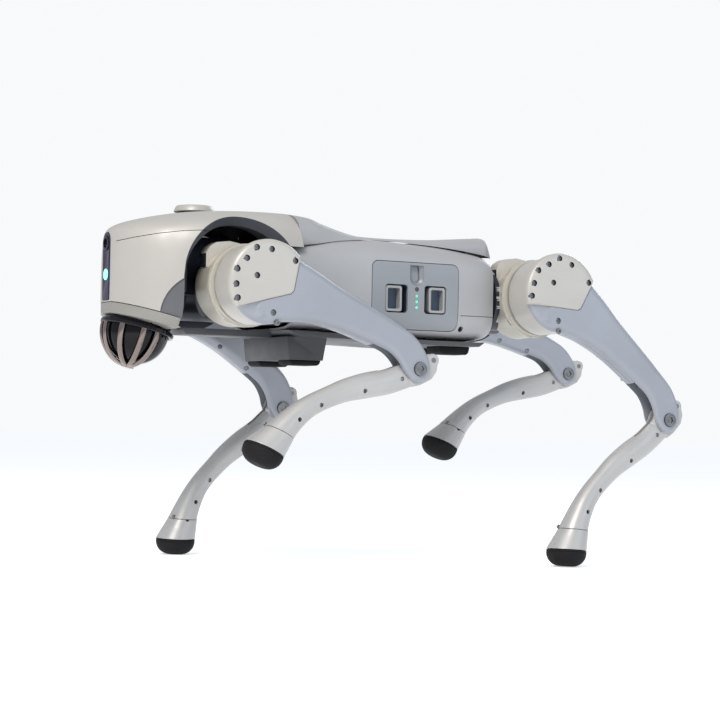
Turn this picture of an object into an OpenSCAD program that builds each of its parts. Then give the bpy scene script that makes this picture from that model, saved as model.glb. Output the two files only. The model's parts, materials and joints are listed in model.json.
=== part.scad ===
// Four-legged walking robot in mid trot: trunk, head, slide-out battery and four legs.
// +X is forward, +Y is the robot's left and +Z is up. The floor is z = 0.
// Every leg is a hip link, a thigh and a calf. A motor at the top of the thigh drives
// the knee through a crank and a push rod that form a parallelogram.

/* [Frame] */
// Distance from the middle of the trunk to the front and rear hip axes
hip_x = 193.4; // [190:0.1:197]
// Distance from the mid plane to each hip axis
hip_y = 46.5; // [46:0.1:48]
// Distance from a hip axis out to the middle plane of its leg
leg_y = 95.5; // [95:0.1:98]
// Height of the hip axes above the floor
trunk_z = 319.2; // [315:0.1:322]
// Forward shift of the trunk's middle from the middle of the bounding box
trunk_x = 44.8; // [35:0.1:50]

/* [Legs] */
// Distance from the thigh's axis to the knee
thigh_length = 213; // [210:1:216]
// Radius of the round housings at the thigh's axis
motor_r = 46; // [45:0.5:47]
// Crank and knee lever length
crank_length = 24; // [23:0.5:25]
// Radius of the foot
foot_r = 24; // [22:0.5:25]
// Outward splay of the two legs that stand
splay = 3; // [0:1:5]

/* [Body] */
// Half width of the trunk's side shells
trunk_half_width = 90; // [88:1:92]
// Half width of the head at the hips
head_half_width = 94; // [92:1:96]
// Wall of the moulded shells
shell_wall = 3; // [2.5:0.5:3.5]

/* [Hidden] */
$fn = 64;
corner_fn = 32;
loft_points = 36;
LEGS = ["front_left", "front_right", "rear_left", "rear_right"];
LEG_PARTS = ["hip_link", "thigh_motor", "thigh_shell", "motor_cover", "thigh_screws",
             "knee_motor", "knee_crank", "knee_rod", "calf_shell", "foot"];
TRUNK_PARTS = ["trunk_shell", "top_cover", "payload_deck", "belly_tray", "belly_pads", "head_shell",
               "face_strip", "camera_lens", "head_lamp", "chin_ring", "lidar_unit", "lidar_cage",
               "antenna_puck", "hip_motors", "chassis", "main_computer", "battery_pack",
               "latch_front", "latch_rear", "power_button"];

// Rest pose of each leg: outward splay, thigh angle back from straight down, knee angle
REST = [[0, 65, -128], [splay, 49, -87.5], [splay, 46, -88], [0, 68, -130.5]];
FRONT = [1, 1, -1, -1];
RIGHT = [false, true, false, true];

shell_grey = [0.80, 0.79, 0.77];
cover_grey = [0.74, 0.75, 0.77];
cream = [0.86, 0.83, 0.76];
dark_grey = [0.25, 0.26, 0.28];
rubber_black = [0.05, 0.05, 0.055];
steel = [0.62, 0.63, 0.65];
lamp_white = [0.75, 0.95, 0.88];
board_green = [0.1, 0.25, 0.15];

// ---------- shared shapes ----------

// Catmull-Rom curve through a list of numbers or vectors, with the given steps between them
function blend(a, b, c, d, t) =
    0.5 * (2 * b + (c - a) * t + (2 * a - 5 * b + 4 * c - d) * t * t
           + (3 * b - a - 3 * c + d) * t * t * t);
function curve(list, steps) =
    let (last = len(list) - 1)
    [for (i = [0:last - 1], k = [0:steps - 1])
        blend(list[max(i - 1, 0)], list[i], list[i + 1], list[min(i + 2, last)], k / steps),
     list[last]];

// Rounded-box section at one x: half width, top, bottom and how square it is
function section(x, half, top, bottom, squareness) =
    [for (i = [0:loft_points - 1])
        let (a = 360 * (i + 0.5) / loft_points, c = cos(a), s = sin(a))
        [x, half * sign(c) * pow(abs(c), 2 / squareness),
         (top + bottom) / 2 + (top - bottom) / 2 * sign(s) * pow(abs(s), 2 / squareness)]];

module skin(rings) {
    n = len(rings[0]);
    m = len(rings);
    polyhedron(
        points = [for (r = rings) each r],
        faces = concat(
            [[for (i = [0:n - 1]) i]],
            [[for (i = [n - 1:-1:0]) (m - 1) * n + i]],
            [for (j = [0:m - 2], i = [0:n - 1]) let (k = (i + 1) % n)
                each [[j * n + i, (j + 1) * n + i, (j + 1) * n + k],
                      [j * n + i, (j + 1) * n + k, j * n + k]]]));
}

// Extrudes a shape drawn in x and z between two y values
module slab(y0, y1) {
    translate([0, y1, 0]) rotate([90, 0, 0]) linear_extrude(y1 - y0) children();
}

// Cylinder along y between two y values, at a place in x and z
module across(r, y0, y1, x = 0, z = 0) {
    translate([x, y0, z]) rotate([-90, 0, 0]) cylinder(r = r, h = y1 - y0);
}

// Cylinder along x between two x values, at a place in y and z
module along(r, x0, x1, y = 0, z = 0) {
    translate([x0, y, z]) rotate([0, 90, 0]) cylinder(r = r, h = x1 - x0);
}

module rounded_rect(x0, x1, z0, z1, r) {
    union() {
        translate([x0 + r, z0]) square([x1 - x0 - 2 * r, z1 - z0]);
        translate([x0, z0 + r]) square([x1 - x0, z1 - z0 - 2 * r]);
        for (x = [x0 + r, x1 - r], z = [z0 + r, z1 - r]) translate([x, z]) circle(r, $fn = corner_fn);
    }
}

module box(x0, x1, y0, y1, z0, z1) {
    translate([x0, y0, z0]) cube([x1 - x0, y1 - y0, z1 - z0]);
}

module both_sides() {
    children();
    mirror([0, 1, 0]) children();
}

module in_trunk() {
    translate([trunk_x, 0, trunk_z]) children();
}

// ---------- placing the legs ----------

module at_hip(i) {
    in_trunk() translate([FRONT[i] * hip_x, 0, 0]) mirror([0, RIGHT[i] ? 1 : 0, 0])
        translate([0, hip_y, 0]) rotate([REST[i][0], 0, 0]) children();
}

module at_thigh(i) {
    at_hip(i) translate([0, leg_y, 0]) rotate([0, REST[i][1], 0]) children();
}

module at_calf(i) {
    at_thigh(i) translate([0, 0, -thigh_length]) rotate([0, REST[i][2], 0]) children();
}

// ---------- one leg ----------

hip_flange_x = 50;        // from the hip axis point in to the face on the trunk's motor
hip_barrel_r = 36;
housing_y0 = 8;           // the thigh motor's housing, out from the hip axis
housing_y1 = 56;
thigh_inner_y = -37;      // the thigh's round casing, from the leg's middle plane
thigh_outer_y = 6;
casing_y1 = 13;           // outer face of the casing below the cover
casing_bore_r = 39.5;
shaft_hole_r = 9;
cover_r = motor_r + 3;    // the motor cover, a little wider than the casing
cover_rim_y = 12;
cover_face_y = 16.5;
cover_gap = 0.4;
arm_half = 15;            // half thickness of the thigh's arm
slot_half = 9.5;          // half width of the slot that holds the rod and takes the calf
calf_half = 8.5;          // half thickness of the calf at the knee
knee_pin_r = 5;
crank_pin_r = 3.5;
lever_pin_r = 3;
rod_half = 3;
running_gap = 0.06;
open_pivot_gap = 0.5;     // the rod's lower eye, where the linkage is opened
fork_half = 3.8;

// Bracket over the hip link's housing, in x and z. It points forward on all four legs
HIP_BRACKET = [[-10, 20], [-10, 44], [2, 49], [14, 51], [30, 49], [38, 44], [43, 36], [43, 20]];
motor_seat_r = 42;
motor_seat_y = 14;
hip_ring = [44, 50];      // the raised ring with its nine slots, from and to

module hip_link(i) {
    color(cream) mirror([FRONT[i] > 0 ? 0 : 1, 0, 0]) difference() {
        union() {
            along(hip_barrel_r, -hip_flange_x, 28);
            along(41, -hip_flange_x, -44);
            along(24, 28, 33);
            across(motor_r, housing_y0, housing_y1);
            across(motor_r + 1.5, hip_ring[0], hip_ring[1]);
            mirror([FRONT[i] > 0 ? 0 : 1, 0, 0]) slab(12, 30) polygon(HIP_BRACKET);
        }
        across(motor_seat_r, motor_seat_y, housing_y1 + 1);
        along(12, -hip_flange_x - 1, -30);
        for (a = [0:60:300]) rotate([a, 0, 0]) along(2.2, -hip_flange_x - 1, -38, 0, 30);
        for (a = [20:40:340]) rotate([0, a, 0]) box(41, 49, hip_ring[0] + 1.5, hip_ring[1] - 1.5, -4, 4);
    }
}

module thigh_motor() {
    color(dark_grey) difference() {
        union() {
            across(motor_seat_r - 0.2, motor_seat_y, 53);
            across(34, 53, housing_y1);
        }
        across(shaft_hole_r, 30, housing_y1 + 1);
        for (a = [0:45:315]) rotate([0, a, 0]) across(2, 50, housing_y1 + 1, 29);
    }
}

// Outline of the thigh's arm in x and z, with the wide rear lobe that hides the knee lever
ARM_REAR = [[-42, 6], [-42, -16], [-41, -50], [-38.5, -80], [-37.5, -127], [-36.5, -158],
            [-34, -183], [-29, -201], [-20, -216], [-10, -225], [0, -228.5]];
ARM_FRONT = [[0, -228.5], [9, -226.5], [15, -220], [16.5, -211], [12, -198], [5, -187], [0.5, -172],
             [1, -156], [3.5, -129], [6.5, -105], [11.5, -82], [18.5, -60], [27, -42], [37, -22], [44, 0]];
arm_steps = 3;
ARM_FRONT_CURVE = curve(ARM_FRONT, arm_steps);
ARM_OUTLINE = concat(curve(ARM_REAR, arm_steps),
                     [for (i = [1:len(ARM_FRONT_CURVE) - 1]) ARM_FRONT_CURVE[i]]);
// The slot between the cheeks: closed along the arm, open at the front and back of the knee
ROD_SLOT = [[-33, -20], [-33, -182], [-50, -190], [-50, -250], [40, -250], [40, -151], [-3, -147],
            [-0.5, -129], [2.5, -105], [7.5, -82], [14.5, -60], [20.5, -42], [24, -20]];
// Edge of the motor cover: everything above and behind it
COVER_EDGE = [[56, 40.2], [-0.8, -28.6], [-6, -30.2], [-61, -16.5], [-60, 60], [56, 60]];
BELOW_COVER = [[56, 39.4], [-0.8, -29.4], [-6, -31], [-61, -17.3],
               [-60, -60], [60, -60], [60, 39.2]];
COVER_SCREWS = [[33.5, 28.5], [20.3, 36.8], [5, 43], [-11, 38], [-27.5, 32.5], [-34, 15.5],
                [-36, -16], [0.5, 18.7]];
CASING_SCREWS = [[28, -18], [35.5, -28]];
screw_head_r = 3.2;
seat_gap = 0.3;
screw_head = 2;
long_screw_from = 41.5;   // cover screws at least this far out reach into the casing's wall
long_shaft = 10;
short_shaft = 4.5;
casing_seat_y = 11;
bolt_r = 8;               // heads of the knee's through bolt
bolt_seat_y = 13.5;
plug = 0.01;              // how far a head sinks into its seat where the thread isn't modelled

module thigh_shell() {
    color(cover_grey) difference() {
        union() {
            across(motor_r, thigh_inner_y, thigh_outer_y);
            across(30, thigh_inner_y - 2.2, thigh_inner_y);
            slab(-arm_half, arm_half) difference() {
                polygon(ARM_OUTLINE);
                circle(motor_r - 1);
            }
            slab(thigh_outer_y - 1, casing_y1) intersection() {
                circle(motor_r);
                polygon(BELOW_COVER);
            }
        }
        across(casing_bore_r, thigh_inner_y + shell_wall, thigh_outer_y + 0.5);
        across(shaft_hole_r, thigh_inner_y - 3, thigh_inner_y + shell_wall + 1);
        slab(thigh_outer_y, 20) intersection() {
            circle(cover_r + cover_gap);
            polygon(COVER_EDGE);
        }
        slab(-slot_half, slot_half) polygon(ROD_SLOT);
        slab(-slot_half, thigh_outer_y) intersection() {
            circle(casing_bore_r);
            translate([-60, -60]) square([120, 60]);
        }
        across(knee_pin_r + 0.02, -20, 20, 0, -thigh_length);
        for (y = [bolt_seat_y, -20]) across(bolt_r + 0.2, y, y + 20 - bolt_seat_y, 0, -thigh_length);
        for (p = CASING_SCREWS) across(screw_head_r + seat_gap, casing_seat_y, 20, p[0], p[1]);
        for (p = COVER_SCREWS) if (norm(p) > long_screw_from) across(1.6, -2, 8, p[0], p[1]);
    }
}

module motor_cover() {
    color(shell_grey) difference() {
        union() {
            slab(thigh_outer_y, cover_rim_y) intersection() {
                circle(cover_r);
                polygon(COVER_EDGE);
            }
            slab(cover_rim_y, cover_face_y - 2) intersection() {
                circle(cover_r - 1.5);
                translate([-1, 1.5]) polygon(COVER_EDGE);
            }
            slab(cover_face_y - 2, cover_face_y) intersection() {
                circle(cover_r - 5);
                translate([-2, 3]) polygon(COVER_EDGE);
            }
        }
        for (p = COVER_SCREWS) {
            across(screw_head_r + seat_gap, cover_rim_y, 20, p[0], p[1]);
            across(1.9, thigh_outer_y - 1, 20, p[0], p[1]);
        }
    }
}

module cap_screw(r, head, shaft_r, reach) {
    difference() {
        union() {
            across(r, 0, head);
            across(shaft_r, -reach, 0);
        }
        translate([0, head + 0.1, 0]) rotate([90, 0, 0]) cylinder(r = r * 0.5, h = head * 0.7, $fn = 6);
    }
}

module thigh_screws() {
    color(steel) {
        for (p = COVER_SCREWS) translate([p[0], cover_rim_y, p[1]])
            cap_screw(screw_head_r, screw_head, 1.5, norm(p) > long_screw_from ? long_shaft : short_shaft);
        for (p = CASING_SCREWS) translate([p[0], casing_seat_y + 2 * plug, p[1]])
            cap_screw(screw_head_r, screw_head, 1.4, plug);
        across(knee_pin_r, -14, 14, 0, -thigh_length);
        for (side = [0, 1]) mirror([0, side, 0]) translate([0, bolt_seat_y, -thigh_length])
            cap_screw(bolt_r, 3.5, 4, plug);
    }
}

module knee_motor() {
    color(dark_grey) difference() {
        union() {
            across(casing_bore_r - 0.7, thigh_inner_y + shell_wall, -14);
            across(30, -14, -11);
        }
        across(6, -25, -10);
        for (a = [0:60:300]) rotate([0, a, 0]) across(2, -16, -10, 24);
    }
}

module eye_bar(length, r, width, y0, y1) {
    across(r, y0, y1);
    across(r, y0, y1, 0, length);
    box(-width / 2, width / 2, y0, y1, 0, length);
}

module knee_crank(i) {
    color(steel) rotate([0, REST[i][2], 0]) difference() {
        union() {
            eye_bar(crank_length, 8, 14, -10, -5);
            across(12, -10.5, -5);
            across(crank_pin_r, -5, rod_half + 1.2, 0, crank_length);
        }
        across(3, -11, -4);
    }
}

module knee_rod(i) {
    pin = [crank_length * sin(REST[i][2]), 0, crank_length * cos(REST[i][2])];
    color(dark_grey) translate(pin) difference() {
        translate([0, 0, -thigh_length]) eye_bar(thigh_length, 7, 7.5, -rod_half, rod_half);
        across(crank_pin_r + running_gap, -5, 5);
        across(lever_pin_r + open_pivot_gap, -5, 5, 0, -thigh_length);
    }
}

// Calf along its bowed centre line: distance down, forward offset, half depth, half width, tilt
CALF = [[8, -2, 15, 8, 0], [20, 0, 15.5, 8.8, 8], [40, 3, 15, 11, 16], [66, 10.5, 14.8, 12.5, 16],
        [91, 16.5, 13.3, 12, 9], [112, 19, 12.2, 11.5, 4], [132, 20.3, 12.2, 11.8, -2],
        [150, 19.5, 13, 13, -12], [170, 15.5, 15, 15.5, -26], [187, 10.5, 17.8, 18, -36]];
SLEEVE = [[187.8, 9.9, 18, 18.2, -36], [198, 6.5, 20.8, 20.5, -38],
          [211.6, 1.8, foot_r + 0.2, foot_r - 0.3, -38]];
KNEE_TAB = [[-7, 27], [-14, 22], [-19, 12], [-18.5, -4], [-16, -14], [14, -14], [14, 9], [7.4, 24]];
// Room between the calf's two cheeks for the rod's eye
FORK_SLOT = [[-30, 40], [-30, -7], [5, -8], [16, -44], [40, -44], [40, 40]];
CALF_BORES = [[16, -74], [20.5, -132]];
calf_bore_r = 2.4;
FOOT_CENTRE = [1.5, 0, -212];
FOOT_TILT = 38;
sole_depth = 19.5;
sole_round = 16;
calf_points = 20;

function limb_ring(p) =
    let (t = p[4])
    [for (i = [0:calf_points - 1])
        let (a = 360 * i / calf_points, u = p[2] * cos(a), v = -p[3] * sin(a))
        [p[1] + u * cos(t), v, -p[0] + u * sin(t)]];

module limb(list, steps) {
    skin([for (p = curve(list, steps)) limb_ring(p)]);
}

module calf_shell() {
    color(shell_grey) difference() {
        union() {
            across(17, -calf_half, calf_half);
            across(7.5, -calf_half, calf_half, 0, crank_length);
            slab(-calf_half, calf_half) polygon(KNEE_TAB);
            limb(CALF, 2);
        }
        across(knee_pin_r + running_gap, -20, 20);
        slab(-fork_half, fork_half) polygon(FORK_SLOT);
        for (p = CALF_BORES) across(calf_bore_r, -20, 20, p[0], p[1]);
    }
    color(shell_grey) limb(SLEEVE, 2);
    color(steel) across(lever_pin_r, -calf_half, calf_half, 0, crank_length);
}

module foot() {
    color(rubber_black) translate(FOOT_CENTRE) rotate([0, FOOT_TILT, 0]) rotate_extrude()
        intersection() {
            union() {
                translate([0, -sole_depth + sole_round]) square([foot_r, sole_depth - sole_round]);
                translate([0, -sole_depth]) square([foot_r - sole_round, sole_depth]);
                translate([foot_r - sole_round, -sole_depth + sole_round]) circle(sole_round);
            }
            translate([0, -sole_depth - 1]) square([foot_r + 1, sole_depth + 1]);
        }
}

// ---------- trunk ----------

// Trunk side shell sections: x, half width, top, bottom, squareness
TRUNK = [[-140, trunk_half_width - 5, 51, -49, 5], [-120, trunk_half_width - 1, 56.5, -51.5, 5],
         [-60, trunk_half_width, 63.5, -52, 5], [20, trunk_half_width, 66.5, -50.5, 5],
         [75, trunk_half_width, 65.5, -48.5, 5], [105, trunk_half_width, 60, -47, 5],
         [128, trunk_half_width - 1, 53, -47, 5]];
// Top cover over the spine
SPINE = [[-150, 60, 60, 40, 4], [-143, 64, 76, 40, 4], [-136, 66, 77, 40, 4], [-100, 68, 74, 40, 3.6],
         [-71, 70, 71.5, 40, 3.6], [-20, 72, 69.5, 40, 3.6], [25, 74, 69.5, 40, 3.6], [45, 76, 71.5, 40, 3.6],
         [68, 79, 77, 40, 3.6], [87, 82, 82.5, 40, 3.6], [103, 84, 88, 40, 3.6], [119.5, 85, 90, 40, 3.6]];
// Head, from the seam behind the fenders to the nose
HEAD = [[120, head_half_width - 1, 91, -64, 4], [160, head_half_width, 91, -64, 4],
        [200, head_half_width, 89.5, -64, 4], [232, head_half_width - 2, 87, -64, 4],
        [256, head_half_width - 8, 84, -64, 3.8], [280, 75, 79.5, -64, 3.6], [298, 61, 75, -64, 3.4],
        [311, 46, 70.5, -64, 3.4], [320, 32, 66, -64, 3.4], [324.5, 22, 62, -64, 3.4],
        [326.5, 14, 59, -64, 3.4]];
BATTERY = [-88, 29, -41, 38];   // panel: x from and to, z from and to
panel_corner = 8;
arch_x = 199;
arch_z = 5;
arch_r = 65;
nose_x = 327;
seam_z = -20;             // lower edge of the head at the nose, and its slope down towards the back
seam_slope = 17;
chin_z = -33;
chin_slope = 16;
seam_gap = 0.6;
lens_z = 47;
lens_r = 8.4;
lamp_z = 11;
lamp_r = 6.4;
strip_half = 10;          // dark strip on the nose: half width, bottom, top and corner radius
strip_z = [-18, 59.5];
strip_corner = 4;
strip_depth = 8.7;
puck_x = 219;
puck_stem_r = 11.5;
DECK = [-125.6, 21.6, 31.6];   // payload deck: x from and to, half width
deck_z = 64;
deck_sheet = 4;
tray_z = -54.5;           // underside of the belly tray at the front, and at the back
tray_rear_z = -58;

function rings(list, steps, inset) =
    [for (p = curve(list, steps)) section(p[0], p[1] - inset, p[2] - inset, p[3] + inset, p[4])];

function with_x(rings, place) = [for (r = rings) [for (p = r) [place(p[0]), p[1], p[2]]]];

// The seam between the head and the spine cover leans forward towards the top
seam_x = 120;
seam_lean = 0.15;
lean_reach = 20;
function leaning(rings) =
    [for (r = rings) [for (p = r)
        let (share = max(0, 1 - abs(p[0] - seam_x) / lean_reach))
        [p[0] + seam_lean * share * max(0, p[2] - 45), p[1], p[2]]]];

module trunk_shell() {
    color(cover_grey) difference() {
        skin(rings(TRUNK, 2, 0));
        skin(with_x(rings(TRUNK, 2, shell_wall), function(x) x * 1.08));
        slab(60, 100)
            rounded_rect(BATTERY[0] - seam_gap, BATTERY[1] + seam_gap, BATTERY[2] - seam_gap,
                         BATTERY[3] + seam_gap, panel_corner);
        box(-160, 140, -70, 70, 40, 70);
    }
}

// The spine cover is closed at the back and open towards the head
function spine_room_x(x) = x < -145 ? x + shell_wall : x > 119 ? 125 : x;

module top_cover() {
    color(shell_grey) difference() {
        skin(leaning(rings(SPINE, 2, 0)));
        skin(leaning(with_x(rings(SPINE, 2, shell_wall), function(x) spine_room_x(x))));
        intersection() {
            skin(rings([for (p = TRUNK) [p[0] * 1.1, p[1], p[2] + cover_gap, p[3], p[4]]], 2, 0));
            box(-170, 150, -100, 100, -60, 90);
        }
        box(DECK[0] - 0.4, DECK[1] + 0.4, -DECK[2] - 0.4, DECK[2] + 0.4, deck_z - deck_sheet, 90);
        box(-170, 150, -100, 100, 30, 44);
    }
}

module payload_deck() {
    color(dark_grey) difference() {
        box(DECK[0], DECK[1], -DECK[2], DECK[2], deck_z - deck_sheet, deck_z);
        for (x = [-102, -2], y = [-20, 20]) translate([x, y, deck_z - 6]) cylinder(r = 2.1, h = 10);
    }
}

keel_half = 24;           // narrow front end of the tray, between the front hips
TRAY = [[-134, -52.6], [-126, tray_rear_z], [-60, tray_rear_z], [70, tray_z], [112, tray_z], [132, -47.3],
        [105, -47.3], [75, -48.9], [20, -51], [-60, -52.6]];
TRAY_ROOM = [[-110, -55], [-60, -55], [70, -51.5], [105, -51.5], [105, -40], [-110, -40]];

module belly_tray() {
    color(dark_grey) difference() {
        union() {
            slab(-78, 78) polygon(TRAY);
            slab(-60, 60) polygon([[72, -54], [77, -81], [121, -81], [124, -54]]);
            slab(-keel_half, keel_half) polygon([[128, -47], [128, tray_z], [236, tray_z], [243, -47]]);
        }
        slab(-70, 70) polygon(TRAY_ROOM);
    }
}

FRONT_PAD = [[78, -81], [80, -85.5], [83, -87], [115, -87], [118, -85.5], [120, -81]];
REAR_PAD = [[-125, tray_rear_z], [-123, -65.5], [-120, -67.5], [-86, -67.5], [-83, -65.5],
            [-81, tray_rear_z]];

module belly_pads() {
    color(rubber_black) both_sides() for (outline = [FRONT_PAD, REAR_PAD]) slab(26, 58) polygon(outline);
}

// Solid of everything above a plane that slopes down towards the back of the head
module above_slope(z_at_nose, slope) {
    translate([nose_x, 0, z_at_nose]) rotate([0, -slope, 0]) box(-400, 100, -150, 150, 0, 300);
}

// The hollow starts behind the head's open back and stops short of the nose
function head_room_x(x, inset) = inset > 0 && x < 125 ? x - 5 : x > 315 ? x - inset : x;

module head_body(inset) {
    skin(leaning(rings([for (p = HEAD) [head_room_x(p[0], inset), p[1], p[2], p[3], p[4]]], 2, inset)));
}

module arches() {
    across(arch_r, -120, 120, arch_x, arch_z);
    box(100, arch_x + arch_r, -120, 120, -100, arch_z);
    box(100, 145, -120, 120, -100, 48);
}

module head_shell() {
    color(shell_grey) difference() {
        intersection() {
            head_body(0);
            above_slope(seam_z, seam_slope);
        }
        head_body(shell_wall);
        arches();
        slab(-strip_half - 0.3, strip_half + 0.3)
            rounded_rect(nose_x - 9, nose_x + 9, strip_z[0] - 0.5, strip_z[1] + 0.5, strip_corner);
        translate([puck_x, 0, 75]) cylinder(r = puck_stem_r + 0.5, h = 30);
    }
}

module chin_ring() {
    color(shell_grey) difference() {
        intersection() {
            head_body(1);
            above_slope(chin_z, chin_slope);
        }
        above_slope(seam_z - seam_gap, seam_slope);
        box(100, 266, -120, 120, -100, 100);
        lidar_place() translate([0, 0, -12]) cylinder(r = lidar_r + 0.4, h = 60);
    }
}

module face_strip() {
    color(rubber_black) difference() {
        slab(-strip_half, strip_half)
            rounded_rect(nose_x - strip_depth, nose_x + 0.6, strip_z[0], strip_z[1], strip_corner);
        along(lens_r + 0.2, nose_x - 5, nose_x + 5, 0, lens_z);
        along(lamp_r + 0.2, nose_x - 3, nose_x + 5, 0, lamp_z);
    }
}

module camera_lens() {
    color(dark_grey) {
        difference() {
            along(lens_r, nose_x - 5, nose_x + 1.6, 0, lens_z);
            along(lens_r - 2.8, nose_x - 2, nose_x + 5, 0, lens_z);
        }
        along(lens_r - 3, nose_x - 2.5, nose_x - 0.5, 0, lens_z);
    }
}

module head_lamp() {
    color(lamp_white) along(lamp_r, nose_x - 3, nose_x + 1, 0, lamp_z);
}

module lidar_place() {
    translate([286, 0, -44]) rotate([0, -14, 0]) children();
}

lidar_r = 38;
lidar_height = 26;
dome_z = -10;             // centre of the dome and of the guard's ribs
CAGE_BARS = [8, 44, 80, 104, -8, -44, -80, -104];
cage_r = 43;

module lidar_unit() {
    color(rubber_black) lidar_place() union() {
        translate([0, 0, dome_z + 2]) cylinder(r = lidar_r, h = lidar_height);
        intersection() {
            translate([0, 0, dome_z]) sphere(r = lidar_r - 0.5);
            box(-50, 50, -50, 50, -50, -6);
        }
    }
}

module lidar_cage() {
    color(dark_grey) lidar_place() {
        difference() {
            translate([0, 0, dome_z]) cylinder(r = cage_r, h = 7);
            translate([0, 0, dome_z - 1]) cylinder(r = lidar_r + 0.3, h = 9);
        }
        intersection() {
            difference() {
                translate([0, 0, dome_z]) sphere(r = cage_r);
                translate([0, 0, dome_z]) sphere(r = cage_r - 3);
            }
            union() {
                for (a = CAGE_BARS) rotate([0, 0, a]) box(0, 50, -3, 3, -54, dome_z + 0.5);
                translate([0, 0, -60]) cylinder(r = 7, h = 30);
            }
        }
    }
}

module antenna_puck() {
    color(shell_grey) translate([puck_x, 0, 0]) {
        translate([0, 0, 89]) cylinder(r1 = 24, r2 = 20, h = 7.6);
        translate([0, 0, 78]) cylinder(r = puck_stem_r, h = 11);
    }
}

motor_x0 = 92;
motor_x1 = 133;
neck_x = 258;

module hip_motors() {
    color(dark_grey) both_sides() for (f = [-1, 1]) mirror([f > 0 ? 0 : 1, 0, 0]) {
        along(38, motor_x0, motor_x1, hip_y);
        along(29, motor_x1, hip_x - hip_flange_x - 0.5, hip_y);
    }
}

// Bulkheads joined by a spine plate, and the neck that carries the head and the range sensor
module chassis() {
    color(dark_grey) difference() {
        union() {
            for (f = [-1, 1]) mirror([f > 0 ? 0 : 1, 0, 0]) translate([motor_x1, 0, 0])
                rotate([90, 0, 90]) linear_extrude(4) rounded_rect(-79, 79, -41, 45, 20);
            box(-motor_x1, motor_x1, -38, 38, 42, 45);
            box(motor_x1 + 4, neck_x, -4, 4, -8, 60);
            box(neck_x - 5, neck_x, -62, 62, -8, 60);
            box(neck_x - 5, 300, -14, 14, -14, -10);
            lidar_place() translate([0, 0, dome_z + 2 + lidar_height]) cylinder(r = 12, h = 14);
        }
        both_sides() for (f = [-1, 1]) mirror([f > 0 ? 0 : 1, 0, 0]) along(29.4, 120, 145, hip_y);
    }
}

module main_computer() {
    color(board_green) {
        box(36, 86, -60, 60, -36, -6);
        for (y = [-48:8:48]) box(40, 82, y - 1, y + 1, -6, 8);
    }
}

panel_proud = 0.4;
PULLS = [[-18.8, 11.3], [-71.4, -41.3]];   // the two finger pulls: x from and to
pull_z0 = -22;
pull_z1 = 11.5;
pull_depth = 14;
latch_width = 22;
latch_travel = 4;
latch_z = -5;
LATCH_X = [PULLS[0][1] - latch_width - 1, PULLS[1][0] + 1];
scoop_x = -31;
scoop_z = 20;
scoop_r = 9.5;
button_r = 2.4;
button_z = 6.5;
button_travel = 1.5;

module battery_pack() {
    y1 = trunk_half_width + panel_proud;
    color(cover_grey) difference() {
        union() {
            slab(trunk_half_width - 6, y1)
                rounded_rect(BATTERY[0], BATTERY[1], BATTERY[2], BATTERY[3], panel_corner);
            box(BATTERY[0] + 4, BATTERY[1] - 4, -64, trunk_half_width - 5, BATTERY[2] + 3, BATTERY[3] - 3);
        }
        for (p = PULLS) slab(y1 - pull_depth, 100) rounded_rect(p[0], p[1], pull_z0, pull_z1, 4);
        latch_slot(LATCH_X[0], -1);
        latch_slot(LATCH_X[1], 1);
        slab(y1 - 3, 100) union() {
            translate([scoop_x, scoop_z]) circle(scoop_r);
            translate([scoop_x - scoop_r, scoop_z]) square([2 * scoop_r, 15]);
        }
        across(button_r + 0.3, y1 - 6, 100, scoop_x, button_z);
        translate([0, y1, -25]) rotate([-39, 0, 0]) box(-120, 80, 0, 40, -60, 0);
    }
}

// Squeeze latch: a hollow thumb plate in the finger pull, on a stem that runs in a slot behind it
latch_stem = 8;
latch_rim = 3;
latch_y0 = trunk_half_width - 13;
latch_y1 = trunk_half_width - 1;
module latch_plate(x0) {
    middle = x0 + latch_width / 2;
    plate_z0 = pull_z0 + 1.5;
    plate_z1 = pull_z1 - 1.5;
    color(dark_grey) difference() {
        union() {
            slab(latch_y0, latch_y1) rounded_rect(x0, x0 + latch_width, plate_z0, plate_z1, 3);
            box(middle - latch_stem / 2, middle + latch_stem / 2, latch_y0 - 8, latch_y0 + 1,
                latch_z - 4, latch_z + 4);
        }
        slab(latch_y0 + 4, latch_y1 + 5)
            rounded_rect(x0 + latch_rim, x0 + latch_width - latch_rim, plate_z0 + latch_rim,
                         plate_z1 - latch_rim, 2);
    }
}

module latch_slot(x0, towards) {
    x1 = x0 + latch_width / 2 - latch_stem / 2 - 0.5 + (towards > 0 ? 0 : -latch_travel);
    box(x1, x1 + latch_stem + latch_travel + 1, latch_y0 - 9, latch_y0,
        latch_z - 4.5, latch_z + 4.5);
}

module power_button() {
    color(dark_grey) across(button_r, trunk_half_width - 3.4, trunk_half_width, scoop_x, button_z);
}

// ---------- drawing ----------

in_trunk() trunk_shell();
in_trunk() top_cover();
in_trunk() payload_deck();
in_trunk() belly_tray();
in_trunk() belly_pads();
in_trunk() head_shell();
in_trunk() face_strip();
in_trunk() camera_lens();
in_trunk() head_lamp();
in_trunk() chin_ring();
in_trunk() lidar_unit();
in_trunk() lidar_cage();
in_trunk() antenna_puck();
in_trunk() hip_motors();
in_trunk() chassis();
in_trunk() main_computer();
in_trunk() battery_pack();
in_trunk() latch_plate(LATCH_X[0]);  // latch_front
in_trunk() latch_plate(LATCH_X[1]);  // latch_rear
in_trunk() power_button();
for (i = [0:3]) {
    at_hip(i) hip_link(i);
    at_hip(i) thigh_motor();
    at_thigh(i) thigh_shell();
    at_thigh(i) motor_cover();
    at_thigh(i) thigh_screws();
    at_thigh(i) knee_motor();
    at_thigh(i) knee_crank(i);
    at_thigh(i) knee_rod(i);
    at_calf(i) calf_shell();
    at_calf(i) foot();
}
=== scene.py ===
"""Looks of the four-legged walking robot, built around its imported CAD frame."""
import json
import math

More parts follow.
